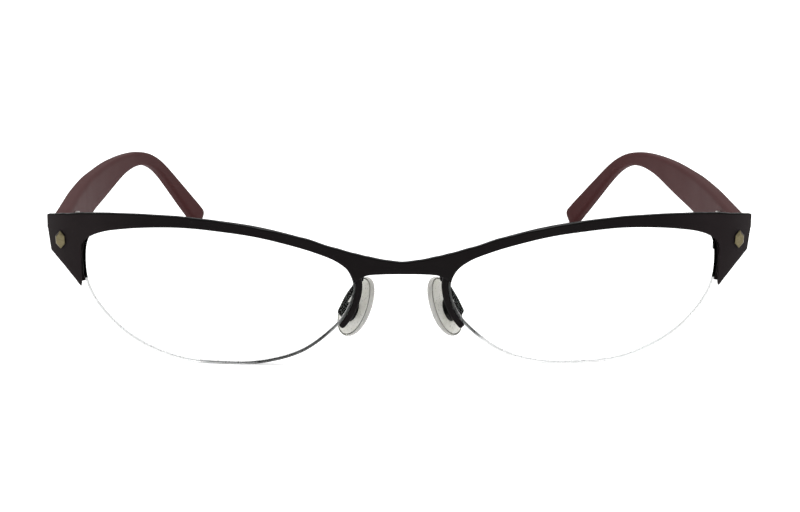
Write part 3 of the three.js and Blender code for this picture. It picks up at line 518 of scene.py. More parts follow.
def painted_shade_edge(name, roughness, clearness, low, high, *texture):
    """A clear edge with painted light and shade: its brightness at each place across the front is painted
    on.
    """
    material, tree, links, shader = principled(
        name, (0.8, 0.8, 0.8), roughness, transmission_weight=clearness)
    paint_light_across(tree, links, shader.inputs["Base Color"], PAINTED_EDGE_SHADES)
    vary(tree, links, noise(tree, links, *texture), shader.inputs["Roughness"], low, high)
    return material


def milky_silicone():
    material, tree, links, shader = principled(
        "milky_silicone", (0.85, 0.84, 0.78), 0.32, transmission_weight=0.2)
    cloud = noise(tree, links, 350)
    vary(tree, links, cloud, shader.inputs["Base Color"], (0.78, 0.77, 0.69), (0.88, 0.87, 0.82))
    vary(tree, links, noise(tree, links, 2600), shader.inputs["Roughness"], 0.26, 0.4)
    return material


def clear_rim(name, color, clearness):
    material, tree, links, shader = principled(name, color, 0.2, transmission_weight=clearness)
    vary(tree, links, noise(tree, links, 1800), shader.inputs["Roughness"], 0.14, 0.26)
    return material


glass = lens_glass()
# The ground edge and the cord both carry the painted light and shade across the front.
ground = painted_shade_edge("ground_lens_edge", 0.3, 0.75, 0.25, 0.4, 3000, 2, (1, 1, 0.2))
nylon = painted_shade_edge("clear_nylon", 0.15, 0.85, 0.1, 0.2, 1500)
silicone, pad_rim = milky_silicone(), clear_rim("clear_rim", (0.9, 0.89, 0.87), 0.6)
# Painted shade in the groove of the pad: a dark grey for its walls.
pad_line = clear_rim("pad_line", (0.2, 0.2, 0.17), 0.1)
print("materials", len(bpy.data.materials))

# %% [markdown]
# ## Skins over rings
# Most pieces here are bars: a section that is carried along a curve. A curve with a bevel could make
# some of them, but it can't follow a section that leans and changes. So one helper joins rings of points
# into a closed skin, and every piece is finished by the same few steps.

# %% Skin helpers
WELD = 1e-7


def skin(rings, slot_of=None):
    """Points and faces of a closed skin over rings of equal counts; slot_of gives a face its material."""
    count = len(rings[0])
    faces, face_slots = [], []
    for r in range(len(rings) - 1):
        for k in range(count):
            n = (k + 1) % count
            faces.append((r * count + k, r * count + n, (r + 1) * count + n, (r + 1) * count + k))
            face_slots.append(slot_of(r, k) if slot_of else 0)
    last = (len(rings) - 1) * count
    faces += [tuple(range(count)), tuple(range(last, last + count))]
    return np.concatenate(rings), faces, face_slots + [0, 0]


def mend(mesh, weld=WELD, flatten=False, fill=False):
    """Welds doubled points, joins flat areas, fills holes, and turns the faces outward."""
    shape = bmesh.new()
    shape.from_mesh(mesh)
    bmesh.ops.remove_doubles(shape, verts=shape.verts, dist=weld)
    if flatten:
        bmesh.ops.dissolve_limit(shape, angle_limit=math.radians(1), verts=shape.verts, edges=shape.edges)
    if fill:
        bmesh.ops.holes_fill(shape, edges=[edge for edge in shape.edges if edge.is_boundary])
    bmesh.ops.recalc_face_normals(shape, faces=shape.faces)
    shape.to_mesh(mesh)
    shape.free()


def smooth_to(mesh, sharp):
    """Smooth shading, except over edges sharper than an angle in degrees."""
    mesh.polygons.foreach_set("use_smooth", [True] * len(mesh.polygons))
    mesh.set_sharp_from_angle(angle=math.radians(sharp))


def make_piece(name, points, faces, face_slots, materials, sharp):
    """A closed mesh object from drawing points, with faces outward and smooth up to an angle."""
    mesh = bpy.data.meshes.new(name)
    mesh.from_pydata(stand(points).tolist(), [], faces)
    for material in materials:
        mesh.materials.append(material)
    mesh.polygons.foreach_set("material_index", face_slots)
    mend(mesh)
    smooth_to(mesh, sharp)
    return add_object(name, mesh)


def round_edges(piece, width, segments, sharp):
    """A bevel, in millimetres, on the edges sharper than an angle in degrees."""
    bevel = piece.modifiers.new("round_edges", "BEVEL")
    bevel.width, bevel.segments, bevel.limit_method = width / 1000, segments, "ANGLE"
    bevel.angle_limit = math.radians(sharp)


def apply_modifiers(piece):
    """Makes what the modifiers show the piece's own mesh, and takes the modifiers off."""
    bpy.context.view_layer.update()
    mesh = bpy.data.meshes.new_from_object(piece.evaluated_get(bpy.context.evaluated_depsgraph_get()))
    piece.modifiers.clear()
    piece.data = mesh


def refinish(mesh, finish):
    mesh.materials.clear()
    mesh.materials.append(finish)


def settle(piece, body, slot, *replaced):
    """Gives a finished piece its body and hides the CAD nodes it stands for; its slot of the record is not
    used.
    """
    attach(piece, body)
    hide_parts(*replaced)
    places = np.array([vertex.co for vertex in piece.data.vertices])
    size = (places.max(0) - places.min(0)) * 1000
    print(piece.name, "faces", len(piece.data.polygons), "mm", size.round(1).tolist())
    return piece


# %% [markdown]
# ## The brow
# The front of the real frame is one strip of sheet metal: brow, bridge and the two endpieces. It is cut
# flat, bent to the face, tumbled so that its edges are soft, and lacquered. It could be cut from a
# curved sheet with booleans. A skin over rungs, each from the top edge down to the lens or to the free
# edge of the endpiece, follows both edges exactly and needs no cutting.

# %% Rungs of the brow
BROW_TURN = (0.03, 0.512)
BRIDGE_UNDER = [(0, 0.348), (0.35, 0.348), (0.6, 0.344), (0.75, 0.336), (0.87, 0.31)]
END_UNDER = [
    (2.04, 0.5), (2.047, 0.085), (2.06, 0.052), (2.1, 0.066), (2.222, 0.145), (2.514, 0.301),
    (2.736, 0.399), (2.903, 0.468), (2.982, 0.754), (3, 0.9),
]
PLATE_LAPS = [
    (0.03, -0.5), (0.045, -0.3), (0.06, 0.2), (0.085, 0.58), (0.125, 0.6), (0.2, 0.4), (0.36, 0.28),
    (0.512, 0.25),
]
PLATE_THICKNESS = 1.2
BROW_LEAN = 0.65
EDGE_ROUND = 0.2


def top_point(across):
    return front_point(across, brow_top(across)[0])


def brow_rungs():
    bridge_under, plate_lap = along_front(BRIDGE_UNDER), smooth_table(PLATE_LAPS)
    reach = station_across(BRIDGE_UNDER[-1][0])
    rungs = [(top_point(x), front_point(x, bridge_under(x)[0])) for x in np.linspace(0, reach, 22)]
    for turn in np.linspace(BROW_TURN[1], BROW_TURN[0], 150):
        low = lens_edge(turn, -plate_lap(turn)[0])
        lean = min(lens_edge(turn, BROW_LEAN)[0] - lens_edge(turn)[0], 0)
        rungs.append((top_point(low[0] + lean), low))
    corner = [station_across(station) for station, _ in END_UNDER]
    height = [value for _, value in END_UNDER]
    places = sorted(set(corner[:-1]) | set(np.linspace(corner[0], front_end - EDGE_ROUND, 48)))
    rungs += [(top_point(x), front_point(x, np.interp(x, corner, height))) for x in places]
    return rungs


rungs = brow_rungs()
print("rungs", len(rungs))

# %% Brow plate
FACE_STEPS = 10
EDGE_POINTS = 8


def rung_ring(top, low, side, inset=0, shift=0):
    """Section of the plate at a rung, with rounded edges; inset makes it smaller on all sides."""
    length = np.linalg.norm(low - top)
    r = EDGE_ROUND
    corners = [(length - r, r, -90), (length - r, PLATE_THICKNESS - r, 0), (r, PLATE_THICKNESS - r, 90),
               (r, r, 180)]
    along, depth = [], []
    for x, y, start in corners:
        angles = np.radians(start + np.array([0, 30, 60, 90]))
        along += list(x + (r - inset) * np.cos(angles))
        depth += list(y + (r - inset) * np.sin(angles))
    between = np.linspace(0, 1, FACE_STEPS + 1)[1:-1]
    back_from, back_to = along[EDGE_POINTS - 1:EDGE_POINTS + 1]
    back = [back_from + (back_to - back_from) * b for b in between]
    face = [along[-1] + (along[0] - along[-1]) * b for b in between]
    along = along[:EDGE_POINTS] + back + along[EDGE_POINTS:] + face
    depth = (depth[:EDGE_POINTS] + [depth[EDGE_POINTS - 1]] * len(back) + depth[EDGE_POINTS:]
             + [depth[-1]] * len(face))
    flat = top + (low - top) * (np.array(along) / length)[:, None]
    return on_front(side * (flat[:, 0] + shift), flat[:, 1], np.array(depth))


def brow_plate():
    ends = [(EDGE_ROUND * (1 - math.cos(a)), EDGE_ROUND * math.sin(a)) for a in np.radians([30, 60, 85])]
    half = {}
    for side in (1, -1):
        half[side] = [rung_ring(top, low, side) for top, low in rungs]
        half[side] += [rung_ring(*rungs[-1], side, inset, shift) for inset, shift in ends]
    top_from = EDGE_POINTS + FACE_STEPS - 1
    painted_shade_top = range(top_from + 1, top_from + EDGE_POINTS - 1)
    # Painted shade: the top face of the plate gets the black material.
    plate = skin(half[-1][:0:-1] + half[1], lambda r, k: int(k in painted_shade_top))
    return make_piece("brow_plate", *plate, [lacquer, painted_shade_black], 45)


settle(brow_plate(), "front", "black_metal", "front_plate")

# %% [markdown]
# ## Sweeps along the lens edge
# Behind the brow runs the eyewire, a drawn channel bent round the lens and soldered on. Below it a
# nylon cord lies in the groove of the lens. Both are one section carried along the lens edge, which is
# a rule, so a Geometry Nodes tree makes them: it lays a grid out of a path and a section. The path
# carries two directions as attributes, because the section must not twist, and a size that rounds off
# the free end.

# %% Tree that carries a section along a path
def node_tree(name, inputs, output):
    """A Geometry Nodes tree with named inputs; done() realizes, paints and puts out what it made."""
    tree = bpy.data.node_groups.new(name, "GeometryNodeTree")
    for label, kind in inputs.items():
        tree.interface.new_socket(name=label, in_out="INPUT", socket_type="NodeSocket" + kind)
    tree.interface.new_socket(name=output, in_out="OUTPUT", socket_type="NodeSocketGeometry")
    new, link = tree.nodes.new, tree.links.new
    start, end = new("NodeGroupInput"), new("NodeGroupOutput")

    def done(geometry):
        real, paint = new("GeometryNodeRealizeInstances"), new("GeometryNodeSetMaterial")
        link(geometry, real.inputs[0])
        link(real.outputs[0], paint.inputs[0])
        link(start.outputs["Finish"], paint.inputs["Material"])
        link(paint.outputs[0], end.inputs[0])
        print(name, len(tree.nodes), "nodes")
        return tree

    return new, link, start.outputs, done


def run_tree(piece, tree, **inputs):
    """Puts a tree on a piece and sets its inputs by the identifiers of their sockets."""
    modifier = piece.modifiers.new(tree.name, "NODES")
    modifier.node_group = tree
    for item in tree.interface.items_tree:
        key = item.name.replace(" ", "_").lower()
        if item.item_type == "SOCKET" and item.in_out == "INPUT" and key in inputs:
            modifier[item.identifier] = inputs[key]


def sweep_tree():
    inputs = {"Path": "Geometry", "Section": "Object", "Finish": "Material"}
    new, link, given, done = node_tree("carry_section", inputs, "Skin")
    path, section = given["Path"], new("GeometryNodeObjectInfo")
    link(given["Section"], section.inputs["Object"])

    def count(geometry):
        size = new("GeometryNodeAttributeDomainSize")
        link(geometry, size.inputs[0])
        return size.outputs["Point Count"]

    def whole(operation, a, b):
        return operate(new, link, "FunctionNodeIntegerMath", operation, a, b)

    rings, points = count(path), count(section.outputs["Geometry"])
    grid = new("GeometryNodeMeshGrid")
    columns = whole("ADD", points, 1)
    link(rings, grid.inputs["Vertices X"])
    link(columns, grid.inputs["Vertices Y"])
    index = new("GeometryNodeInputIndex").outputs[0]
    ring = whole("DIVIDE", index, columns)
    point = whole("MODULO", whole("MODULO", index, columns), points)

    def sample(geometry, name, at, kind="FLOAT_VECTOR"):
        node = new("GeometryNodeSampleIndex")
        node.data_type = kind
        link(geometry, node.inputs[0])
        link(at, node.inputs["Index"])
        if name:
            field = new("GeometryNodeInputNamedAttribute")
            field.data_type = kind
            field.inputs["Name"].default_value = name
            link(field.outputs["Attribute"], node.inputs[1])
        else:
            link(new("GeometryNodeInputPosition").outputs[0], node.inputs[1])
        return node.outputs[0]

    def vector(operation, a, b):
        node = new("ShaderNodeVectorMath")
        node.operation = operation
        link(a, node.inputs[0])
        link(b, node.inputs["Scale" if operation == "SCALE" else 1])
        return node.outputs[0]

    split = new("ShaderNodeSeparateXYZ")
    shape = vector("SCALE", sample(section.outputs["Geometry"], None, point),
                   sample(path, "size", ring, "FLOAT"))
    link(shape, split.inputs[0])
    out = vector("SCALE", sample(path, "outward", ring), split.outputs["X"])
    deep = vector("SCALE", sample(path, "backward", ring), split.outputs["Y"])
    place, weld = new("GeometryNodeSetPosition"), new("GeometryNodeMergeByDistance")
    link(grid.outputs["Mesh"], place.inputs[0])
    link(vector("ADD", sample(path, None, ring), vector("ADD", out, deep)), place.inputs["Position"])
    weld.inputs["Distance"].default_value = WELD
    link(place.outputs[0], weld.inputs[0])
    return done(weld.outputs[0])


carry_section = sweep_tree()


# %% Bars along the lens edge
SWEEP_STEPS = 8
DIRECTION_STEP = 0.5
END_STEPS = 6
SMALLEST_END = 0.05


def point_object(name, points, edges=(), **vectors):
    """An object of drawing points that carry vectors, for a tree to build on."""
    mesh = bpy.data.meshes.new(name)
    mesh.from_pydata(stand(points).tolist(), list(edges), [])
    for key, rows in vectors.items():
        attribute = mesh.attributes.new(key, "FLOAT_VECTOR", "POINT")
        attribute.data.foreach_set("vector", np.array(rows).ravel())
    return add_object(name, mesh)


def rounded_end(places, round_off):
    """Steps that close up toward the last place, and the size of a bar that rounds off there."""
    end = places[-1]
    span = round_off / (np.linalg.norm(lens_path(end)[1]) * len(LENS_SHARES))
    quarter = np.linspace(0, 1, END_STEPS + 1)[1:] * math.pi / 2
    places = np.concatenate([places[places < end - span], end - span * (1 - np.sin(quarter))])
    size = np.ones(len(places))
    size[-END_STEPS:] = np.maximum(np.cos(quarter), SMALLEST_END)
    return places, size


def lens_sweep(name, side, turns, middle, section, finish, round_off=0):
    """A bar along the lens edge: middle is its outward and depth place, section is about that middle."""
    places = np.linspace(*turns, int((turns[1] - turns[0]) * len(LENS_SHARES) * SWEEP_STEPS) + 2)
    size = np.ones(len(places))
    if round_off:
        places, size = rounded_end(places, round_off)
    centre, out, deep = [], [], []
    for turn in places:
        here, beyond = (lens_edge(turn, middle[0] + step) for step in (0, DIRECTION_STEP))
        at, beside = (on_front(side * flat[0], flat[1], middle[1]) for flat in (here, beyond))
        behind = on_front(side * here[0], here[1], middle[1] + DIRECTION_STEP)
        centre.append(at)
        out.append((beside - at) / DIRECTION_STEP)
        deep.append((behind - at) / DIRECTION_STEP)
    out, deep = (np.array(rows) @ stand_turn.T for rows in (out, deep))
    bar = point_object(name, centre, outward=out, backward=deep)
    bar.data.attributes.new("size", "FLOAT", "POINT").data.foreach_set("value", size)
    section_mesh = bpy.data.meshes.new(name + "_section")
    section_mesh.from_pydata([(x / 1000, y / 1000, 0) for x, y in section], [], [])
    outline = add_object(name + "_section", section_mesh)
    run_tree(bar, carry_section, section=outline, finish=finish)
    apply_modifiers(bar)
    bpy.data.objects.remove(outline)
    mend(bar.data, fill=True)
    smooth_to(bar.data, 40)
    return bar


# %% Eyewire and lower cord
RIM_TURN = (-0.034, 0.62)
CORD_TURN = (0.576, 0.986)
RIM_WALL = 1.15
RIM_DEPTH = 1.8
RIM_ROUND = 0.35
RIM_END = 0.55
CHANNEL_DEPTH = 0.45
LIP_ROUND = 0.08
LIP_GAP = 0.01
GROOVE_WIDTH = 0.6
GROOVE_DEPTH = 0.55
CORD_DIAMETER = 0.44
CORD_SIDES = 12
rim_front = PLATE_THICKNESS + FIT_GAP
groove_middle = rim_front + RIM_DEPTH / 2


def channel_section():
    """Round outside, with a square mouth whose lips almost touch the lens, about its own middle."""
    half_wall, half_depth, mouth = RIM_WALL / 2, RIM_DEPTH / 2, GROOVE_WIDTH / 2
    points = []
    for y, start in ((-half_depth + RIM_ROUND, -90), (half_depth - RIM_ROUND, 0)):
        angles = np.radians(start + np.linspace(0, 90, 6))
        points += [(half_wall - RIM_ROUND + RIM_ROUND * math.cos(a), y + RIM_ROUND * math.sin(a))
                   for a in angles]
    lip = LIP_GAP - FIT_GAP - half_wall
    points += [(lip + LIP_ROUND, half_depth), (lip, half_depth - LIP_ROUND), (lip, mouth + LIP_ROUND),
               (lip + LIP_ROUND, mouth), (CHANNEL_DEPTH - half_wall, mouth)]
    return points + [(x, -y) for x, y in reversed(points[-5:])]


cord_angles = np.linspace(0, 2 * math.pi, CORD_SIDES + 1)[:-1]
cord_section = [(CORD_DIAMETER / 2 * math.cos(a), CORD_DIAMETER / 2 * math.sin(a)) for a in cord_angles]
for side_name, side in SIDES.items():
    wire = lens_sweep(f"eyewire_bar_{side_name}", side, RIM_TURN, (FIT_GAP + RIM_WALL / 2, groove_middle),
                      channel_section(), lacquer, RIM_END)
    settle(wire, "front", "black_metal", f"eyewire_{side_name}")
    cord = lens_sweep(f"nylon_cord_{side_name}", side, CORD_TURN, (-GROOVE_DEPTH / 2, groove_middle),
                      cord_section, nylon)
    settle(cord, "front", "nylon", f"lens_cord_{side_name}")

# %% [markdown]
# ## Lenses
# A lens is a thin curved disc with a groove ground into its edge. The faces are polished and the edge is
# ground dull, which is the grey line seen where no metal hides it; its brightness along the front is
# painted light and shade. Under the metal the edge sits in a black channel, and there it is painted
# black as painted shade. A solidified sheet could stand in, but glass shows what is behind it properly
# only where the disc is closed, with both faces and the edge. So it is a skin over rings, from the middle
# of the front out over the edge and back in.

# %% Lens discs
LENS_THICKNESS = 1.7
LENS_BEVEL = 0.12
LENS_STEPS = 200
FACE_SHARES = [0.004, 0.15, 0.3, 0.45, 0.6, 0.75, 0.88, 0.96]
DULL_TURN = (0.5, 0.97)


def lens_disc(side_name, side):
    turns = np.linspace(0, 1, LENS_STEPS + 1)[:-1]
    lens_front, lens_back = groove_middle - LENS_THICKNESS / 2, groove_middle + LENS_THICKNESS / 2
    mouth = GROOVE_WIDTH / 2
    rim = {outward: np.array([lens_edge(turn, outward) for turn in turns])
           for outward in (-LENS_BEVEL, 0, -GROOVE_DEPTH)}

    def ring(outward, depth, share=1):
        flat = lens_centre + (rim[outward] - lens_centre) * share
        return on_front(side * flat[:, 0], flat[:, 1], depth)

    edge = [
        ring(-LENS_BEVEL, lens_front), ring(0, lens_front + LENS_BEVEL), ring(0, groove_middle - mouth),
        ring(-GROOVE_DEPTH, groove_middle - mouth), ring(-GROOVE_DEPTH, groove_middle + mouth),
        ring(0, groove_middle + mouth), ring(0, lens_back - LENS_BEVEL), ring(-LENS_BEVEL, lens_back),
    ]
    front, behind = ([ring(-LENS_BEVEL, depth, share) for share in FACE_SHARES]
                     for depth in (lens_front, lens_back))
    edge_from, edge_to = len(FACE_SHARES), len(FACE_SHARES) + len(edge) - 1

    def finish_of(r, k):
        # Painted shade: the edge under the metal, outside the dull stretch, gets the black material in
        # slot 2.
        if not edge_from <= r < edge_to:
            return 0
        return 1 if DULL_TURN[0] < turns[k] < DULL_TURN[1] else 2

    closed = skin(front + edge + behind[::-1], finish_of)
    disc = make_piece(f"lens_disc_{side_name}", *closed, [glass, ground, painted_shade_black], 25)
    return settle(disc, "front", "lens", f"lens_{side_name}")


for side_name, side in SIDES.items():
    lens_disc(side_name, side)
    # Painted shade: the clear nylon liner in the channel is shown dark grey.
    refinish(nodes[f"rim_liner_{side_name}"].data, liner_painted_shade)

# %% [markdown]
# ## Temples
# A temple is sawn from acetate sheet, tumbled until its edges are round, and bent over the ear. It is
# high at the hinge, slims to the bend and widens a little at the tip. A curve with a taper could make
# it, but height and thickness change apart from each other. So a table gives both along the temple, and
# the skin starts on the slant that meets the endpiece.

# %% Temple table
TEMPLE_LEAD = 4.08
TEMPLE_REACH = 116.5
TEMPLE_HEIGHT = 9.35
TEMPLE_DOWN = 1.5
TIP_INSET = 19.6
TIP_DROP = 19.6
CORNER_SHARE = 0.62
TANGENT_STEP = 0.002
MITRE_DEPTH = 2.65
TEMPLE_TABLE = [
    (0, 0, 0.073, 0.845, 1), (0.069, 0, 0.089, 0.93, 1), (0.155, 0, 0.107, 1, 1),
    (0.257, 0, 0.097, 0.965, 1), (0.395, 0.031, 0.066, 0.84, 0.97), (0.497, 0.097, 0.048, 0.76, 0.93),
    (0.567, 0.153, 0.029, 0.67, 0.9), (0.644, 0.24, 0, 0.49, 0.86), (0.717, 0.337, 0, 0.365, 0.83),
    (0.771, 0.438, 0.031, 0.32, 0.81), (0.828, 0.557, 0.143, 0.305, 0.8),
    (0.867, 0.648, 0.301, 0.33, 0.8), (0.914, 0.76, 0.531, 0.385, 0.81),
    (0.961, 0.892, 0.785, 0.45, 0.83), (1, 1.006, 1.001, 0.48, 0.84),
]
EASE = 0.05
EASE_STEPS = 9
temple_table = smooth_table(TEMPLE_TABLE)


def temple_at(share):
    """The table, averaged over a short stretch so that no kink shows where its rows meet."""
    reach = min(EASE, share, 1 - share)
    steps = np.linspace(-1, 1, EASE_STEPS)
    return np.average([temple_table(share + reach * step) for step in steps], 0, 1.1 - np.abs(steps))


def temple_centre(share):
    inset, drop = temple_at(share)[:2]
    return np.array([temple_spread - inset * TIP_INSET, end_sag - TEMPLE_LEAD + share * TEMPLE_REACH,
                     end_top - TEMPLE_DOWN - drop * TIP_DROP])


def temple_station(share):
    _, _, high_share, thick_share = temple_at(share)
    thick, high = thick_share * TEMPLE_THICKNESS / 2, high_share * TEMPLE_HEIGHT / 2
    along = temple_centre(min(share + TANGENT_STEP, 1)) - temple_centre(max(share - TANGENT_STEP, 0))
    along /= np.linalg.norm(along)
    outward = np.array([along[1], -along[0], 0])
    outward /= np.linalg.norm(outward)
    return temple_centre(share), along, outward, np.cross(outward, along), thick, high


def rounded(thick, high, radius):
    """Section with rounded corners, and points along its flat sides."""
    points = []
    for corner, (sx, sy) in enumerate(((1, 1), (-1, 1), (-1, -1), (1, -1))):
        angles = (corner + np.linspace(0, 1, 7)) * math.pi / 2
        middle = (sx * (thick - radius), sy * (high - radius))
        points += [(middle[0] + radius * math.cos(a), middle[1] + radius * math.sin(a)) for a in angles]
        if corner % 2:
            edge, near = points[-1]
            far = -sy * (high - radius)
            points += [(edge, near + (far - near) * b) for b in (0.25, 0.5, 0.75)]
    return np.array(points)


def front_surface_back(x, z, depth):
    """How far back the slanted seat behind the endpiece is, at a place seen from the front."""
    spot, step = np.array([x, z]), 0.01
    for _ in range(12):
        across, up = spot
        here, right_of, over = on_front([across, across + step, across], [up, up, up + step], depth)
        slope = np.stack([(right_of - here)[[0, 2]], (over - here)[[0, 2]]], -1) / step
        spot = spot - np.linalg.solve(slope, here[[0, 2]] - (x, z))
    return here[1]


print("temple length along its middle", round(sum(
    np.linalg.norm(temple_centre(s + 0.01) - temple_centre(s)) for s in np.arange(0, 1, 0.01)), 1), "mm")


# %% Temples
SEARCH_SHARE = 0.1
SLANT_SHARE = 0.14
SLANT_STEPS = 16
LENGTH_STEPS = 150


def temple_rings():
    """Rings from the slanted front end to the domed tip."""
    def ring(share, scale=1, forward=0):
        centre, along, outward, up, thick, high = temple_station(share)
        section = rounded(thick * scale, high * scale, min(thick, high) * scale * CORNER_SHARE)
        return centre + along * forward + section[:, :1] * outward + section[:, 1:] * up

    starts = []
    for a, b in zip(ring(0), ring(SEARCH_SHARE)):
        low, high = 0.0, SEARCH_SHARE
        for _ in range(16):
            middle = (low + high) / 2
            x, y, z = a + (b - a) * middle / SEARCH_SHARE
            low, high = (middle, high) if y < front_surface_back(x, z, MITRE_DEPTH) else (low, middle)
        starts.append(high)
    starts = np.array(starts)
    rings = []
    for step in np.linspace(0, 1, SLANT_STEPS + 1)[:-1]:
        shares = starts + (SLANT_SHARE - starts) * step
        rings.append(np.array([ring(share)[k] for k, share in enumerate(shares)]))
    rings += [ring(share) for share in np.linspace(SLANT_SHARE, 1, LENGTH_STEPS)]
    end_high = temple_station(1)[5]
    dome = np.radians([15, 30, 45, 60, 75, 88])
    return rings + [ring(1, math.cos(a), end_high * math.sin(a)) for a in dome]


temple_points, temple_faces, temple_slots = skin(temple_rings())
for side_name, side in SIDES.items():
    piece = make_piece(f"acetate_temple_{side_name}", temple_points * (side, 1, 1), temple_faces,
                       temple_slots, [acetate], 40)
    for vertex in piece.data.vertices:
        vertex.co.z = max(vertex.co.z, 0)
    round_edges(piece, 0.25, 3, 50)
    apply_modifiers(piece)
    settle(piece, f"temple_{side_name}", "burgundy", f"temple_{side_name}")
    refinish(nodes[f"temple_core_{side_name}"].data, steel)

# %% [markdown]
# ## Studs, hinges, boxes and inserts
# A long six-sided bronze stud with sloping facets shines on each corner, and its shank holds the hinge
# behind. The hinge leaves are stamped and milled, and the small box on each pad arm is cast. Their edges
# are broken by tumbling. The CAD nodes have the right shape with sharp edges. They could be shown as
# they are, but a real edge catches light, so a copy of each is welded, its flat faces are cleaned, and a
# narrow bevel rounds its edges.

# %% Softened copies of small metal parts
SHADED_OUTWARD = 0.3
SHADED_UP = 0.25


def softened(node, body, slot, finish, width=0.06):
    mesh = nodes[node].data.copy()
    refinish(mesh, finish)
    mend(mesh, 1e-6, flatten=True)
    smooth_to(mesh, 30)
    piece = add_object(f"soft_{node}", mesh)
    round_edges(piece, width, 2, 35)
    apply_modifiers(piece)
    return settle(piece, body, slot, node)


for side_name, side in SIDES.items():
    stud = softened(f"endpiece_stud_{side_name}", "front", "bronze", bronze, 0.05)
    # Painted shade: facets that face outward and up get a darker copy of the bronze.
    stud.data.materials.append(painted_shade_bronze)
    for face in stud.data.polygons:
        if face.normal.x * side > SHADED_OUTWARD and face.normal.z > SHADED_UP:
            face.material_index = 1
    softened(f"hinge_front_{side_name}", "front", "black_metal", lacquer)
    softened(f"hinge_temple_{side_name}", f"temple_{side_name}", "steel", steel)
    # Painted shade: the steel pad box is shown black and the steel insert nearly black, for the shade and
    # dark reflection on them.
    softened(f"pad_box_{side_name}", "front", "steel", painted_shade_black, 0.08)
    softened(f"pad_insert_{side_name}", f"pad_{side_name}", "steel", insert_dark, 0.04)

# %% [markdown]
# ## Nose pads
# Each pad is moulded from clear silicone round a small metal insert. It has a rounded outer rim, a fine
# groove inside the rim, and a shallow field round the insert. A squashed sphere could stand in, but the
# rim and its groove are what the eye picks out. So rings of an egg-shaped outline carry the profile
# from the pocket of the insert, over the field, the groove and the rim, to the side on the nose.

# %% Frame of a pad
PAD_LENGTH = 13.4
PAD_WIDTH = 7.8
PAD_THICKNESS = 2
PAD_FRONTAL = 25
PAD_TILT = 13
PAD_SPLAY = 38
PAD_RISE = 1
PAD_OUT = 0.6
PAD_BACK = 9
PAD_DOWN = 4.88
PAD_FULLER = 0.12
PAD_STEPS = 72
pad_turn = np.array(
    Matrix.Rotation(math.radians(-PAD_FRONTAL), 3, "Y") @ Matrix.Rotation(math.radians(PAD_TILT), 3, "X")
    @ Matrix.Rotation(math.radians(-PAD_SPLAY), 3, "Z"))
pad_middle = np.array([nose_side + PAD_OUT, PAD_BACK, -PAD_DOWN])


def on_pad(points):
    return np.array(points, float) @ pad_turn.T + pad_middle


def pad_ring(length, width, depth, drop=0, rise=0):
    """An egg-shaped ring: drop makes its lower half fuller, and rise lifts it along the pad."""
    angles = np.arange(PAD_STEPS) * 2 * math.pi / PAD_STEPS
    return np.stack([np.full(PAD_STEPS, -depth), (1 - drop * np.sin(angles)) * width / 2 * np.cos(angles),
                     rise + length / 2 * np.sin(angles)], -1)


print("pad middle", stand(pad_middle).round(4).tolist())

# %% Nose pads
INSERT_LENGTH = 5
INSERT_WIDTH = 3
INSERT_THICKNESS = 0.7
POCKET_FLARE = 0.2
PAD_FIELD = [(0.56, 0.04), (0.68, 0), (0.8, -0.01), (0.92, 0)]
PAD_GROOVE = [(0.932, 0.08), (0.945, 0.08), (0.957, 0)]
PAD_RIM = [
    (0.97, -0.01), (0.983, 0.03), (0.994, 0.12), (1, 0.24), (0.992, 0.4), (0.965, 0.55), (0.91, 0.7),
    (0.83, 0.82),
]
PAD_NOSE = [(0.75, 0.9), (0.6, 0.955), (0.4, 0.985), (0.2, 0.998), (0.02, 1)]
RISE_FROM, RISE_RUN = 0.46, 0.4


def nose_pad(side_name, side):
    def body(share, depth, rise=PAD_RISE):
        return pad_ring(PAD_LENGTH * share, PAD_WIDTH * share, PAD_THICKNESS * depth, PAD_FULLER, rise)

    pocket = np.array([INSERT_LENGTH, INSERT_WIDTH]) + 2 * FIT_GAP
    pocket_depth = INSERT_THICKNESS + 2 * FIT_GAP
    rings = [pad_ring(*pocket * share, pocket_depth) for share in (0.02, 0.5, 1)]
    rings += [pad_ring(*pocket, 0.1), pad_ring(*pocket + POCKET_FLARE, 0.02)]
    groove = len(rings) + len(PAD_FIELD) - 1
    rim = groove + len(PAD_GROOVE)
    rim_end = rim + len(PAD_RIM)
    rings += [body(share, depth, PAD_RISE * min((share - RISE_FROM) / RISE_RUN, 1))
              for share, depth in PAD_FIELD + PAD_GROOVE]
    rings += [body(share, depth) for share, depth in PAD_RIM + PAD_NOSE]
    # The groove walls take slot 2, the painted shade of the groove.
    points, faces, face_slots = skin([on_pad(ring) for ring in rings], lambda r, k: (
        2 if groove <= r < rim else int(rim <= r < rim_end)))
    materials = [silicone, pad_rim, pad_line]
    pad = make_piece(f"silicone_pad_{side_name}", points * (side, 1, 1), faces, face_slots, materials, 60)
    return settle(pad, f"pad_{side_name}", "soft_pad", f"nose_pad_{side_name}")


for side_name, side in SIDES.items():
    nose_pad(side_name, side)

# %% [markdown]
# ## Pad arms
# Each pad hangs on a bent wire that is brazed to the leg of the eyewire and curls back to the pad box.
# A curve with a round bevel could be left as a curve object. A tree that turns a path of points into a
# tube gives a mesh at once, with its radius and number of sides as named inputs.

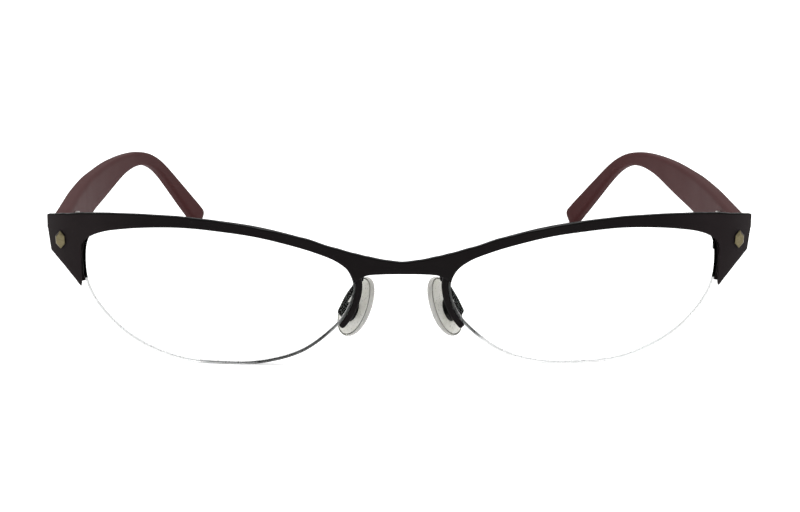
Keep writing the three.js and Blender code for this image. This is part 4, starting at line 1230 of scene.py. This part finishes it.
# %% Tree for round wire
def wire_tree():
    inputs = {"Path": "Geometry", "Radius": "Float", "Sides": "Int", "Finish": "Material"}
    new, link, given, done = node_tree("round_wire", inputs, "Wire")
    path, circle, tube, smooth = (new(kind) for kind in (
        "GeometryNodeMeshToCurve", "GeometryNodeCurvePrimitiveCircle", "GeometryNodeCurveToMesh",
        "GeometryNodeSetShadeSmooth"))
    tube.inputs["Fill Caps"].default_value = True
    link(given["Path"], path.inputs[0])
    link(given["Sides"], circle.inputs["Resolution"])
    link(given["Radius"], circle.inputs["Radius"])
    link(path.outputs[0], tube.inputs["Curve"])
    link(circle.outputs[0], tube.inputs["Profile Curve"])
    link(tube.outputs[0], smooth.inputs[0])
    return done(smooth.outputs[0])


round_wire = wire_tree()

# %% Pad arms
WIRE_RADIUS = 0.5
WIRE_SIDES = 20
ARM_IN = 1.05
ARM_UP = 2.4
ARM_LEAD = 1.7
ARM_END = 0.3
ARM_STEPS = 48
BOX_LENGTH = 2.6
LUG_REACH = 1.15
LUG_RADIUS = 0.7
BOX_FLOOR = 0.35
box_back = LUG_REACH + LUG_RADIUS + 2 * FIT_GAP + BOX_FLOOR
rim_back = rim_front + RIM_DEPTH


def pad_arm(side_name, side):
    line, half = box_back + FIT_GAP + WIRE_RADIUS, BOX_LENGTH / 2
    through = [on_front(nose_side - ARM_IN, ARM_UP, rim_back + FIT_GAP + lead) for lead in (0, ARM_LEAD)]
    through += [on_pad([line, 0, up]) for up in (2 * half, half, -half * ARM_END)]
    path = smooth_path(through, False)
    points = np.array([path(turn)[0] for turn in np.linspace(0, 1, ARM_STEPS + 1)]) * (side, 1, 1)
    arm = point_object(f"wire_arm_{side_name}", points, [(k, k + 1) for k in range(ARM_STEPS)])
    run_tree(arm, round_wire, radius=WIRE_RADIUS / 1000, sides=WIRE_SIDES, finish=lacquer)
    round_edges(arm, 0.15, 3, 60)
    apply_modifiers(arm)
    return settle(arm, "front", "black_metal", f"pad_arm_{side_name}")


for side_name, side in SIDES.items():
    pad_arm(side_name, side)

# %% [markdown]
# ## Screws
# Every joint is held by a tiny slotted screw: one down each hinge and one across each pad box. They
# repeat, so a tree makes one screw from named sizes and sets a copy on each point of a small mesh, turned
# by an attribute. It could be modelled four times by hand. The head is cut by a slot with a boolean
# inside the tree.

# %% Tree for slotted screws
SHANK_START = 0.8


def screw_tree():
    sizes = ("Head Radius", "Head Depth", "Shank Radius", "Shank Length", "Slot")
    inputs = {"Places": "Geometry", **dict.fromkeys(sizes, "Float"), "Finish": "Material"}
    new, link, given, done = node_tree("slotted_screws", inputs, "Screws")

    def number(operation, a, b):
        return operate(new, link, "ShaderNodeMath", operation, a, b)

    def raised(geometry, height):
        move, lift = new("GeometryNodeTransform"), new("ShaderNodeCombineXYZ")
        link(height, lift.inputs["Z"])
        link(lift.outputs[0], move.inputs["Translation"])
        link(geometry, move.inputs["Geometry"])
        return move.outputs[0]

    def rod(radius, length):
        node = new("GeometryNodeMeshCylinder")
        node.inputs["Vertices"].default_value = 32
        link(radius, node.inputs["Radius"])
        link(length, node.inputs["Depth"])
        return node.outputs["Mesh"]

    head_depth, shank_length, slot = given["Head Depth"], given["Shank Length"], given["Slot"]
    head = raised(rod(given["Head Radius"], head_depth), number("MULTIPLY", head_depth, -0.5))
    shank = raised(rod(given["Shank Radius"], shank_length), number("SUBTRACT", number(
        "MULTIPLY", shank_length, -0.5), number("MULTIPLY", head_depth, SHANK_START)))
    bar, size = new("GeometryNodeMeshCube"), new("ShaderNodeCombineXYZ")
    for axis, value in (("X", number("MULTIPLY", given["Head Radius"], 3)), ("Y", slot),
                        ("Z", number("MULTIPLY", slot, 2))):
        link(value, size.inputs[axis])
    link(size.outputs[0], bar.inputs["Size"])
    both, cut = new("GeometryNodeMeshBoolean"), new("GeometryNodeMeshBoolean")
    both.operation, cut.operation = "UNION", "DIFFERENCE"
    for part in (head, shank):
        link(part, both.inputs["Mesh 2"])
    link(both.outputs[0], cut.inputs["Mesh 1"])
    link(bar.outputs[0], cut.inputs["Mesh 2"])
    spread, turned = new("GeometryNodeInstanceOnPoints"), new("GeometryNodeInputNamedAttribute")
    turned.data_type = "FLOAT_VECTOR"
    turned.inputs["Name"].default_value = "turn"
    link(given["Places"], spread.inputs["Points"])
    link(cut.outputs[0], spread.inputs["Instance"])
    link(turned.outputs["Attribute"], spread.inputs["Rotation"])
    return done(spread.outputs[0])


slotted_screws = screw_tree()

# %% Screws
KNUCKLE_HEIGHT = 1.8
HINGE_SCREW_RADIUS = 0.55
HINGE_HEAD_RADIUS = 0.85
HINGE_HEAD_DEPTH = 0.6
HINGE_SLOT = 0.25
PAD_SCREW_RADIUS = 0.35
PAD_HEAD_RADIUS = 0.65
PAD_HEAD_THICKNESS = 0.4
PAD_SLOT = 0.18
LUG_THICKNESS = 1
RUNNING_GAP = 0.12
BOX_CHEEK = 0.55


def screws(kind, head_top, facing, **sizes):
    """The two screws of a kind as one object, from the middle of the left head's top and its facing."""
    sides = [np.array([side, 1, 1]) for side in SIDES.values()]
    turns = [Vector(stand_turn @ (facing * side)).to_track_quat("Z", "Y").to_euler()[:] for side in sides]
    piece = point_object(f"{kind}_screws", [head_top * side for side in sides], turn=turns)
    run_tree(piece, slotted_screws, finish=steel, **{key: value / 1000 for key, value in sizes.items()})
    round_edges(piece, 0.04, 2, 40)
    apply_modifiers(piece)
    smooth_to(piece.data, 30)
    return settle(piece, "front", "steel", *[f"{kind}_screw_{side_name}" for side_name in SIDES])


knuckle = KNUCKLE_HEIGHT + KNUCKLE_GAP
screws("hinge", pin + (0, 0, knuckle + KNUCKLE_HEIGHT / 2), np.array([0, 0, 1]),
       head_radius=HINGE_HEAD_RADIUS, head_depth=HINGE_HEAD_DEPTH, shank_radius=HINGE_SCREW_RADIUS,
       shank_length=2 * knuckle + KNUCKLE_HEIGHT - HINGE_HEAD_DEPTH * SHANK_START, slot=HINGE_SLOT)
box_half = LUG_THICKNESS / 2 + RUNNING_GAP + BOX_CHEEK
head_up = box_half + FIT_GAP + PAD_HEAD_THICKNESS
head_middle, head_beyond = (on_pad([LUG_REACH, up, 0]) for up in (head_up, head_up + 1))
screws("pad", head_middle, head_beyond - head_middle, head_radius=PAD_HEAD_RADIUS,
       head_depth=PAD_HEAD_THICKNESS, shank_radius=PAD_SCREW_RADIUS, shank_length=2 * box_half,
       slot=PAD_SLOT)
